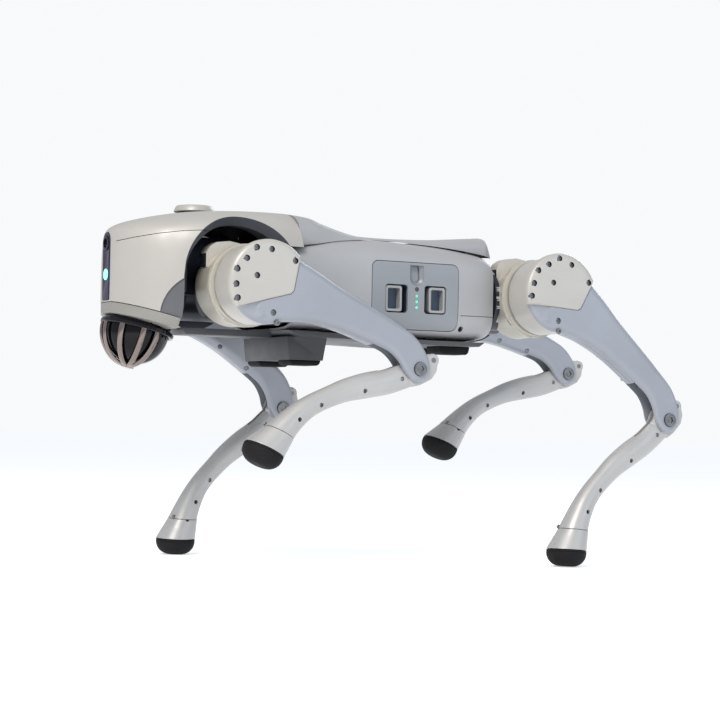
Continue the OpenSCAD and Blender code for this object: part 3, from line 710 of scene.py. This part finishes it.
# The stations below are (x, half width, top, bottom, squareness).
SPINE = [(-150, 60, 60, 40, 4), (-143, 64, 76, 40, 4), (-136, 66, 77, 40, 4), (-100, 68, 74, 40, 3.6),
         (-71, 70, 71.5, 40, 3.6), (-20, 72, 69.5, 40, 3.6), (25, 74, 69.5, 40, 3.6),
         (45, 76, 71.5, 40, 3.6), (68, 79, 77, 40, 3.6), (87, 82, 82.5, 40, 3.6), (103, 84, 88, 40, 3.6),
         (119.5, 85, 90, 40, 3.6)]
TRUNK_SIDES = [(-140, 85, 51, -49, 5), (-120, 89, 56.5, -51.5, 5), (-60, 90, 63.5, -52, 5),
               (20, 90, 66.5, -50.5, 5), (75, 90, 65.5, -48.5, 5), (105, 90, 60, -47, 5),
               (128, 89, 53, -47, 5)]
HEAD = [(120, 93, 91, -64, 4), (160, 94, 91, -64, 4), (200, 94, 89.5, -64, 4), (232, 92, 87, -64, 4),
        (256, 86, 84, -64, 3.8), (280, 75, 79.5, -64, 3.6), (298, 61, 75, -64, 3.4),
        (311, 46, 70.5, -64, 3.4), (320, 32, 66, -64, 3.4), (324.5, 22, 62, -64, 3.4),
        (326.5, 14, 59, -64, 3.4)]
NOSE_X = 327.0
SEAM_Z, SEAM_SLOPE = -20.0, 17.0
CHIN_Z, CHIN_SLOPE = -33.0, 16.0
ARCH_X, ARCH_Z, ARCH_R = 199.0, 5.0, 65.0
RIM, FRONT_RIM = 9.5, 0.16
SEAM_X, SEAM_LEAN, LEAN_REACH = 120.0, 0.15, 20.0
DOME_R, DOME_Z = 37.5, -10
RIB_R, RIB_DEPTH, RIB_HALF = 41.3, 1.55, 3.2
CAGE_BARS = (8, 44, 80, 104, -8, -44, -80, -104)
CHEEK = (241.0, -34.0, 46.5)
CHEEK_DEPTH = 2.2
BATTERY = (-88, 29, -41, 38)
PULLS = ((-18.8, 11.3), (-71.4, -41.3))
PULL_LOW, PULL_HIGH = -22.0, 11.5
SCOOP, SCOOP_R, SCOOP_BACK_HALF = (-31.0, 20.0), 11, 12
BUTTON_Z, BUTTON_HOLE_R = 6.5, 2.7
LIGHTS, LIGHT_SEAT_R = (-1.4, -8.2, -15.0), 1.35
SIDE_SCREW = (-95.0, -38.0)
TRUNK_SHARP = 34
PUCK_X = 219.0
LENS_Z, LAMP_Z = 47.0, 11.0
WALL = 3.0
SEAM = 0.7


def section(x, half, top, bottom, square, count=160):
    ring = []
    for i in range(count):
        a = 2 * math.pi * (i + 0.5) / count
        c, s = math.cos(a), math.sin(a)
        across = half * math.copysign(abs(c) ** (2 / square), c)
        up = (top - bottom) / 2 * math.copysign(abs(s) ** (2 / square), s)
        ring.append((x, across, (top + bottom) / 2 + up))
    return ring


def hull_loft(name, stations, inset=0.0, steps=8, shift=None):
    """Rounded-box solid along x; shift may move a section's x."""
    rings = []
    for x, half, top, bottom, square in curve(stations, steps):
        place = shift(x) if shift else x
        ring = section(place, half - inset, top - inset, bottom + inset, square)
        rings.append([lean(p) for p in ring] if stations in (HEAD, SPINE) else ring)
    return from_rings(name, rings)


def lean(p):
    """The seam between the head and the spine cover leans forward towards the top."""
    x, y, z = p
    share = max(0, 1 - abs(x - SEAM_X) / LEAN_REACH)
    return x + SEAM_LEAN * share * max(0, z - 45), y, z


def sloped_block(name, z_at_nose, slope, height=300):
    """Everything above a plane that slopes down towards the back of the head."""
    t = math.radians(slope)
    d = Vector((math.cos(t), math.sin(t)))
    n = Vector((-d.y, d.x)) * height
    p = Vector((NOSE_X, z_at_nose))
    corners = (p - 400 * d, p + 100 * d, p + 100 * d + n, p - 400 * d + n)
    return prism(name, [tuple(c) for c in corners], -150, 150)


def rounded_rect(x0, x1, z0, z1, r, count=10):
    out = []
    corners = ((x1 - r, z0 + r, -90), (x1 - r, z1 - r, 0), (x0 + r, z1 - r, 90), (x0 + r, z0 + r, 180))
    for cx, cz, start in corners:
        out += arc(r, start, start + 90, count, cx, cz)
    return out


def groove_along(name, points, width, y0, y1):
    """Thin wall along a polyline in x and z, used to cut a seam."""
    pts = [Vector(p) for p in points]
    sides = []
    for i, p in enumerate(pts):
        d = (pts[min(i + 1, len(pts) - 1)] - pts[max(i - 1, 0)]).normalized()
        sides.append((p, Vector((-d.y, d.x)) * width / 2))
    outline = [tuple(p + n) for p, n in sides] + [tuple(p - n) for p, n in reversed(sides)]
    return prism(name, outline, y0, y1)


def head_half_at(x, z):
    """Half width of the head's skin at a place in x and z."""
    rows = np.array(curve(HEAD, 8))
    half, top, bottom, square = (np.interp(x, rows[:, 0], rows[:, k]) for k in (1, 2, 3, 4))
    up = min(abs(z - (top + bottom) / 2) / ((top - bottom) / 2), 0.97)
    return half * (1 - up ** square) ** (1 / square)


def arch_outline(rim):
    """Arch opening as (x, z, rim weight): a half circle with straight sides, widened by a rim that
    fades towards the front."""
    straight = np.linspace(-110, ARCH_Z - 2, 24)
    points = [(ARCH_X + ARCH_R + rim * FRONT_RIM, z, FRONT_RIM) for z in straight]
    for a in np.radians(np.linspace(0, 180, 72)):
        weight = 1.0 if math.cos(a) < 0 else max(FRONT_RIM, math.sin(a))
        radius = ARCH_R + rim * weight
        points.append((ARCH_X + radius * math.cos(a), ARCH_Z + radius * math.sin(a), weight))
    return points + [(ARCH_X - ARCH_R - rim, z, 1.0) for z in straight[::-1]]


def arch_cut(side):
    """Wheel-arch opening on one side, with a chamfer that follows the head's skin."""
    rings = []
    for rim, out in ((0, None), (0, -RIM), (RIM, 0), (2 * RIM, RIM), (2 * RIM, 130)):
        ring = []
        for (x, z, weight), (rim_x, rim_z, _) in zip(arch_outline(rim), arch_outline(RIM)):
            skin = head_half_at(rim_x, max(rim_z, -40))
            ring.append((x, 0 if out is None else min(skin + out * weight, 130), z))
        rings.append(ring)
    obj = from_rings("arch", rings)
    boolean(obj, cuboid("behind", 100, 145, 0, 120, -112, 48), "UNION")
    return to_side(obj, 0, 0, side)


def faces_arch(p, normal):
    """True on the wall and chamfer of a wheel arch."""
    dx, dz = p.x - ARCH_X, max(p.z - ARCH_Z, 0)
    distance = math.hypot(dx, dz)
    inwards = -(normal.x * dx + normal.z * dz) / distance
    return ARCH_R - 1 < distance < ARCH_R + RIM + 1 and inwards > 0.25 and abs(p.y) > 50


TOP_SEAM = [(330, 46.5), (310, 52), (290, 56), (265, 59.5), (240, 61.2), (225, 61.6)]
STRIP_HALF, STRIP_LOW, STRIP_HIGH = 10.0, -18.0, 59.5


def strip_outline(grow):
    """Face strip: a half-round top and small corners below."""
    half = STRIP_HALF + grow
    low, high = STRIP_LOW - grow, STRIP_HIGH + grow
    return (arc(half, 0, 180, 28, 0, high - half) + arc(2, 180, 270, 6, -half + 2, low + 2)
            + arc(2, 270, 360, 6, half - 2, low + 2))


def strip_piece():
    """Dark glass strip on the nose, with bores for the camera and the lamp."""
    obj = front_prism("face_strip_glass", strip_outline(0), NOSE_X - 8.7, NOSE_X + 0.6)
    for z, r, depth in ((LENS_Z, 8.6, 5), (LAMP_Z, 6.6, 3)):
        bore = cylinder("bore", r, -12, depth)
        bore.data.transform(Matrix.Rotation(math.radians(90), 4, "Z"))
        bore.data.transform(Matrix.Translation(Vector((NOSE_X, 0, z)) * MM))
        boolean(obj, bore)
    return soften(obj, 0.5, 3, 40)


def head_shell_piece():
    obj = hull_loft("head_shell_skin", HEAD)
    boolean(obj, sloped_block("above", SEAM_Z, SEAM_SLOPE), "INTERSECT")
    inner = hull_loft("inner", HEAD, WALL, 8, lambda x: x - 8 if x < 125 else (x - WALL if x > 315 else x))
    for side in (-1, 1):
        band = [(ARCH_R - 4, 54), (ARCH_R + 14, 54), (ARCH_R + 14, 120), (ARCH_R - 4, 120)]
        boolean(inner, lathe_tube("tube", band, ARCH_X, ARCH_Z, side))
    boolean(obj, inner)
    for side in (-1, 1):
        boolean(obj, arch_cut(side))
    boolean(obj, front_prism("strip_slot", strip_outline(0.5), NOSE_X - 9, NOSE_X + 12))
    puck = cylinder("puck_hole", 12, 75, 110)
    puck.data.transform(Matrix.Rotation(math.radians(90), 4, "X"))
    puck.data.transform(Matrix.Translation(Vector((PUCK_X, 0, 0)) * MM))
    boolean(obj, puck)
    for side in (-1, 1):
        y = (20, 120) if side > 0 else (-120, -20)
        boolean(obj, groove_along("seam", TOP_SEAM, SEAM, *y))
        x, z, r = CHEEK
        boolean(obj, cylinder("cheek_hole", r, *y, x, z, 96))
    return obj


def cheek_piece():
    """Sunken cheek panels behind the head's round corner seams."""
    obj = hull_loft("cheek_panels", HEAD, CHEEK_DEPTH)
    boolean(obj, hull_loft("inner", HEAD, CHEEK_DEPTH + 1.6))
    x, z, r = CHEEK
    boolean(obj, cylinder("disc", r - 0.3, -120, 120, x, z, 96), "INTERSECT")
    boolean(obj, sloped_block("above", SEAM_Z, SEAM_SLOPE), "INTERSECT")
    boolean(obj, cuboid("middle", 100, 400, -40, 40, -100, 100))
    for side in (-1, 1):
        boolean(obj, arch_cut(side))
    return obj


def chin_piece():
    obj = hull_loft("chin_ring_skin", HEAD, 1.0)
    boolean(obj, sloped_block("above", CHIN_Z, CHIN_SLOPE), "INTERSECT")
    boolean(obj, sloped_block("below", SEAM_Z - 0.9, SEAM_SLOPE))
    boolean(obj, cuboid("behind", 100, 266, -120, 120, -100, 100))
    bore = cylinder("bore", 38.4, -12, 48, count=96)
    bore.data.transform(Matrix.Rotation(math.radians(90), 4, "X"))
    bore.data.transform(LIDAR)
    boolean(obj, bore)
    return soften(obj, 0.8, 3, 40)


LIDAR = Matrix.Translation(Vector((286, 0, -44)) * MM) @ Matrix.Rotation(math.radians(-14), 4, "Y")
UPRIGHT = Matrix.Rotation(math.radians(90), 4, "X")


def lidar_piece():
    """Sealed range sensor: collar and a deep glossy dome."""
    turns = np.linspace(0.02, math.pi / 2 - 0.03, 40)
    dome = [(DOME_R * math.cos(a), DOME_Z - DOME_R * math.sin(a)) for a in turns]
    profile = [(2, 18), (37.2, 18), (38, 17.2), (38, -7.6), (37.6, -8)] + dome
    obj = lathe("lidar_dome", profile[::-1], 128)
    obj.data.transform(LIDAR @ UPRIGHT)
    return obj


def cage_piece():
    """Guard: a collar and eight ribs that meet in a boss under the dome."""
    collar = [(38.5, -4.0), (39.2, -3.2), (41.8, -3.2), (42.9, -4.4), (42.9, -7.6), (41.8, -8.8),
              (39.5, -9.0), (38.5, -8.4)]
    obj = lathe("lidar_guard", collar, 128, True)
    obj.data.transform(UPRIGHT)
    ribs = []
    for angle in CAGE_BARS:
        rings = []
        for t in np.linspace(-0.10, math.pi / 2, 28):
            c, s = math.cos(t), math.sin(t)
            ring = []
            for u in np.linspace(0, 2 * math.pi, 16, endpoint=False):
                radius = RIB_R + RIB_DEPTH * math.sin(u)
                ring.append((radius * c, RIB_HALF * math.cos(u), DOME_Z - radius * s))
            rings.append(ring)
        rib = from_rings("rib", rings)
        rib.data.transform(Matrix.Rotation(math.radians(angle), 4, "Z"))
        ribs.append(rib)
    boss = lathe("boss", [(5.0, -53.0), (7.2, -52.4), (7.6, -51), (7.6, -48.8), (5, -48.2)], 48)
    boss.data.transform(UPRIGHT)
    for part in ribs + [boss]:
        boolean(obj, part, "UNION")
    obj.data.transform(LIDAR)
    return obj


def in_collar(p, _):
    return (LIDAR.inverted() @ (p * MM)).z > -9.3 * MM


def trunk_shell_piece():
    obj = hull_loft("trunk_side_shells", TRUNK_SIDES)
    boolean(obj, hull_loft("inner", TRUNK_SIDES, WALL, 8, lambda x: x * 1.08))
    x0, x1, z0, z1 = BATTERY
    boolean(obj, prism("panel_hole", rounded_rect(x0 - 0.8, x1 + 0.8, z0 - 0.8, z1 + 0.8, 8.5), 60, 100))
    boolean(obj, cuboid("spine_gap", -160, 140, -70, 70, 40, 70))
    seam = [(-145, -22), (-92, -22)]
    boolean(obj, groove_along("seam", seam, SEAM, 60, 100))
    for y in ((79, 100), (-100, -79)):
        boolean(obj, cylinder("screw_seat", 3.3, *y, *SIDE_SCREW, 32))
    return obj


def top_cover_piece():
    obj = hull_loft("spine_cover", SPINE)
    inner = hull_loft("inner", SPINE, WALL, 8, lambda x: x + 3 if x < -145 else (125 if x > 119 else x))
    boolean(obj, inner)
    grown = [(x * 1.1, half, top + 0.9, bottom, square) for x, half, top, bottom, square in TRUNK_SIDES]
    body = hull_loft("body", grown)
    boolean(body, cuboid("middle", -170, 150, -100, 100, -60, 90), "INTERSECT")
    boolean(obj, body)
    boolean(obj, cuboid("deck_hole", -126, 22, -32, 32, 60, 90))
    boolean(obj, cuboid("underneath", -170, 150, -100, 100, 30, 44))
    return obj


def puck_piece():
    steps = [(2, 78), (11.5, 78), (11.5, 88.9), (23.4, 89), (24, 89.6), (23.6, 91.2), (21.8, 95),
             (20.6, 96.3), (19.2, 96.6), (2, 96.6)]
    obj = lathe("antenna_cap", steps, 96)
    obj.data.transform(UPRIGHT)
    obj.data.transform(Matrix.Translation(Vector((PUCK_X, 0, 0)) * MM))
    return obj


def cad_copy(node, name, width):
    """Copy of a CAD node with its facets merged and its edges broken."""
    source = frame["nodes"][node]
    obj = new_object(name, source.data.copy())
    obj.data.materials.clear()
    bm = bmesh.new()
    bm.from_mesh(obj.data)
    bmesh.ops.remove_doubles(bm, verts=bm.verts, dist=2e-6)
    bmesh.ops.dissolve_limit(bm, angle_limit=math.radians(1.0), verts=bm.verts, edges=bm.edges)
    bm.to_mesh(obj.data)
    bm.free()
    soften(obj, width)
    shade(obj, 35)
    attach(obj, source["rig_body"])
    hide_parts(node)
    return obj


def battery_parts():
    """Battery: body, curved panel, finger-pull cups and charge lights."""
    x0, x1, z0, z1 = BATTERY
    body = cuboid("battery_body", x0 + 4, x1 - 4, -64, 83.5, z0 + 8, z1 - 3)
    for a, b in PULLS:
        boolean(body, cuboid("pull_room", a - 2, b + 2, 74, 90, PULL_LOW - 2, PULL_HIGH + 2))
    soften(body, 2.0, 3, 40)
    panel = hull_loft("battery_panel", TRUNK_SIDES, -0.35)
    boolean(panel, hull_loft("inner", TRUNK_SIDES, 4.0))
    boolean(panel, prism("outline", rounded_rect(x0, x1, z0, z1, 8, 14), 60, 100), "INTERSECT")
    bowl = [(SCOOP_R * math.cos(a), -SCOOP_R * math.sin(a)) for a in np.linspace(1.5, 0, 14)]
    scoop = lathe("scoop", [(0.2, -SCOOP_R)] + bowl + [(SCOOP_R, 15), (0.2, 15)])
    scoop.data.transform(UPRIGHT)
    scoop.data.transform(Matrix.Translation(Vector((SCOOP[0], 95.6, SCOOP[1])) * MM))
    boolean(panel, scoop)
    boolean(panel, cylinder("button_hole", BUTTON_HOLE_R, 60, 100, SCOOP[0], BUTTON_Z, 32))
    for z in LIGHTS:
        boolean(panel, cylinder("light_seat", LIGHT_SEAT_R, 89.6, 100, SCOOP[0], z, 24))
    for a, b in PULLS:
        boolean(panel, prism("pull", rounded_rect(a, b, PULL_LOW, PULL_HIGH, 4), 60, 100))
    soften(panel, 0.9, 3, 45)
    cups = []
    for a, b in PULLS:
        cup = prism("pull_cups", rounded_rect(a - 1.2, b + 1.2, PULL_LOW - 1.2, PULL_HIGH + 1.2, 5), 75, 87)
        opening = rounded_rect(a + 0.05, b - 0.05, PULL_LOW + 0.05, PULL_HIGH - 0.05, 4)
        boolean(cup, prism("pull", opening, 76.4, 100))
        cups.append(cup)
    scoop_back = hull_loft("scoop_back", TRUNK_SIDES, 5.9)
    boolean(scoop_back, hull_loft("inner", TRUNK_SIDES, 7.0))
    middle = cuboid("middle", SCOOP[0] - SCOOP_BACK_HALF, SCOOP[0] + SCOOP_BACK_HALF, 60, 100, 5, 37)
    boolean(scoop_back, middle, "INTERSECT")
    bead = [(1.3, -1.2), (1.3, -0.35), (1.0, -0.1), (0.4, 0.0)]
    lights = [lathe("charge_lights", bead, 24) for _ in LIGHTS]
    for light, z in zip(lights, LIGHTS):
        light.data.transform(Matrix.Translation(Vector((SCOOP[0], 90.3, z)) * MM))
    return ((body, DARK_PLASTIC), (panel, PANEL), (join(*cups), PULL_DARK), (scoop_back, PANEL),
            (join(*lights), LED))


def side_screws_piece():
    """One screw at the lower back corner of each side shell."""
    screws = [small_screw("side_screws", *SIDE_SCREW, side * 80.6, 2.9, side) for side in (-1, 1)]
    return join(*screws)


def hip_zone(leg):
    """Test for the faces of a hip link that are outside its round motor housing and its top bracket."""
    hip, side = joint_place(leg + "_hip_swing"), 1 if leg.endswith("left") else -1
    axis = Vector(JOINTS[leg + "_thigh_swing"]["axis"])
    up = Vector((1, 0, 0)).cross(axis)

    def outside(p, _):
        q = p * MM - hip
        x, y, z = q.x / MM, side * q.dot(axis) / MM, q.dot(up) / MM
        housing = math.hypot(x, z) < 48 and y > 19
        bracket = z > 30 and x > -12 and 11.5 < y < 30.5
        return not housing and not bracket
    return outside


def trunk_piece(obj, mat, slot, *nodes, tints=()):
    """Finishes a piece that rides on the trunk; tints are (material, test) pairs."""
    shade(obj, TRUNK_SHARP)
    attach(obj, "trunk")
    paint(obj, mat)
    for second, chosen in tints:
        tint(obj, second, chosen)
    obj.data.transform(TRUNK)
    if nodes:
        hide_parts(*nodes)
    return obj


# Faces that look towards the trunk's axis are painted near-black: painted shade inside the shells.
HOLLOW_SHADE = ((INSIDE_SHADE, looks_inwards),)
# The head shell's arch walls and chamfers are painted near-black: painted shade.
trunk_piece(head_shell_piece(), SHELL, "shell", "head_shell", tints=HOLLOW_SHADE + ((ARCH_SHADE, faces_arch),))
# The cheek panels are painted near-black, and their arch faces too: painted shade.
trunk_piece(cheek_piece(), SHELL_SHADE, "shell", tints=((ARCH_SHADE, faces_arch),))
trunk_piece(chin_piece(), CHIN_PAINT, "shell", "chin_ring", tints=HOLLOW_SHADE)
trunk_piece(lidar_piece(), DOME, "gloss_black", "lidar_unit")
trunk_piece(strip_piece(), STRIP, "gloss_black", "face_strip")
# The guard ribs get the pinkish metal of painted highlights; the collar keeps its own black gloss.
trunk_piece(cage_piece(), CAGE_SHEEN, "cage_black", "lidar_cage", tints=((GLOSS, in_collar),))
# The trunk's side shells and top cover get the darker, bluer copy of the shell paint: painted shade.
trunk_piece(trunk_shell_piece(), TRUNK_SHELL_SHADE, "shell", "trunk_shell", tints=HOLLOW_SHADE)
trunk_piece(top_cover_piece(), TRUNK_SHELL_SHADE, "shell", "top_cover", tints=HOLLOW_SHADE)
trunk_piece(puck_piece(), SHELL, "shell", "antenna_puck")

COPIES = {
    # node: (broken edge in mm, material, slot)
    "payload_deck": (0.6, DARK_PLASTIC, "dark_plastic"), "belly_tray": (2.0, DARK_PLASTIC, "dark_plastic"),
    "belly_pads": (1.5, RUBBER, "rubber"),
    "camera_lens": (0.3, GLOSS, "gloss_black"), "head_lamp": (0.4, LAMP, "lamp_glass"),
    "hip_motors": (1.0, DARK_METAL, "dark_metal"), "chassis": (0.8, DARK_METAL, "dark_metal"),
    "main_computer": (0.3, BOARD, "circuit_board"),
    "latch_front": (0.5, LATCH, "dark_plastic"), "latch_rear": (0.5, LATCH, "dark_plastic"),
    "power_button": (0.4, DARK_PLASTIC, "dark_plastic"),
}
LEG_COPIES = {
    "hip_link": (0.8, CREAM, "cream_metal"), "thigh_motor": (0.6, DARK_METAL, "dark_metal"),
    "knee_motor": (0.6, DARK_METAL, "dark_metal"), "knee_crank": (0.5, STEEL, "screw_steel"),
    "knee_rod": (0.6, DARK_METAL, "dark_metal"), "thigh_screws": (0.25, STEEL, "screw_steel"),
}
COPIES.update({f"{leg}_{part}": value for leg in LEGS for part, value in LEG_COPIES.items()})
for node, (width, mat, slot_name) in COPIES.items():
    piece = paint(cad_copy(node, node + "_finished", width), mat)
    if node.startswith("latch"):
        tint(piece, PULL_DARK, lambda p, n: p.y < 85 and n.y > 0.5)
    if node.endswith("hip_link"):
        tint(piece, DARK_METAL, hip_zone(node[:-9]))

for piece, mat in battery_parts():
    piece.data.transform(TRUNK)
    shade(piece, TRUNK_SHARP)
    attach(piece, "battery")
    paint(piece, mat)
    if piece.name == "battery_panel":
        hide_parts("battery_pack")
trunk_piece(side_screws_piece(), DARK_METAL, "screw_steel")

# ---------- camera, floor and light ----------

CAMERA_PLACE = Vector((1.236, 2.3299, -0.1638)) + TRUNK_ORIGIN
CAMERA_YAW, CAMERA_PITCH, CAMERA_ROLL = (math.radians(v) for v in (-28.03, 1.9, -1.1))
LENS_MM = 108.69


def camera_axes():
    turn = Matrix.Rotation(CAMERA_YAW, 3, "Z")
    right, down, ahead = turn @ Vector((-1, 0, 0)), Vector((0, 0, -1)), turn @ Vector((0, -1, 0))
    tipped = math.cos(CAMERA_PITCH) * ahead - math.sin(CAMERA_PITCH) * down
    down = math.cos(CAMERA_PITCH) * down + math.sin(CAMERA_PITCH) * ahead
    rolled = math.cos(CAMERA_ROLL) * right + math.sin(CAMERA_ROLL) * down
    down = math.cos(CAMERA_ROLL) * down - math.sin(CAMERA_ROLL) * right
    return rolled, -down, -tipped


camera = bpy.data.objects.new("camera", bpy.data.cameras.new("camera"))
bpy.context.scene.collection.objects.link(camera)
camera.data.sensor_width = 36
camera.data.lens = LENS_MM
camera.data.clip_end = 200
camera.matrix_world = Matrix.Translation(CAMERA_PLACE) @ Matrix(camera_axes()).transposed().to_4x4()
bpy.context.scene.camera = camera


def area_light(name, place, size, energy, color, target=(0.05, 0, 0.28)):
    data = bpy.data.lights.new(name, "AREA")
    data.shape = "RECTANGLE"
    data.size, data.size_y = size
    data.energy = energy
    data.color = color
    obj = bpy.data.objects.new(name, data)
    bpy.context.scene.collection.objects.link(obj)
    obj.location = place
    obj.rotation_euler = (Vector(target) - Vector(place)).to_track_quat("-Z", "Y").to_euler()


area_light("key", (1.9, 1.7, 2.6), (1.6, 1.3), 95, (1.0, 0.95, 0.885))
area_light("cool_fill", (-1.6, 3.2, 1.4), (2.4, 1.6), 16, (0.66, 0.82, 1.0))
area_light("back", (-2.6, -1.8, 1.8), (1.4, 1.0), 28, (0.85, 0.92, 1.0))

SKY_LIGHT, SKY_SEEN = 0.66, 0.97
SKY_COLOR, BACKDROP_COLOR = (0.90, 0.945, 1.0, 1), (0.97, 0.98, 1.0, 1)
world = bpy.data.worlds.new("studio")
world.use_nodes = True
sky = world.node_tree.nodes["Background"]
sky.inputs["Color"].default_value = SKY_COLOR
sky.inputs["Strength"].default_value = SKY_LIGHT
backdrop = world.node_tree.nodes.new("ShaderNodeBackground")
backdrop.inputs["Color"].default_value = BACKDROP_COLOR
backdrop.inputs["Strength"].default_value = SKY_SEEN
path = world.node_tree.nodes.new("ShaderNodeLightPath")
either = world.node_tree.nodes.new("ShaderNodeMixShader")
world.node_tree.links.new(path.outputs["Is Camera Ray"], either.inputs[0])
world.node_tree.links.new(sky.outputs[0], either.inputs[1])
world.node_tree.links.new(backdrop.outputs[0], either.inputs[2])
world.node_tree.links.new(either.outputs[0], world.node_tree.nodes["World Output"].inputs["Surface"])
bpy.context.scene.world = world
bpy.context.scene.view_settings.view_transform = "Standard"

FLOOR_HALF = 40000
FLOOR_DARK, FLOOR_PALE, FLOOR_GLOW = (0.86, 0.865, 0.87, 1), (0.89, 0.89, 0.895, 1), 0.42
floor_mesh = cuboid("floor", -FLOOR_HALF, FLOOR_HALF, -FLOOR_HALF, FLOOR_HALF, -50, 0)
floor_nodes = Nodes("floor_paint")
floor_cloud = floor_nodes.mix(floor_nodes.noise(0.8), FLOOR_DARK, FLOOR_PALE)
floor_nodes.put(floor_nodes.shader.inputs["Base Color"], floor_cloud)
floor_nodes.put(floor_nodes.shader.inputs["Roughness"], 0.9)
floor_nodes.put(floor_nodes.shader.inputs["Emission Color"], BACKDROP_COLOR)
floor_nodes.put(floor_nodes.shader.inputs["Emission Strength"], FLOOR_GLOW)
floor_nodes.put(floor_nodes.shader.inputs["Specular IOR Level"], 0.0)
floor_mesh.data.materials.append(floor_nodes.mat)
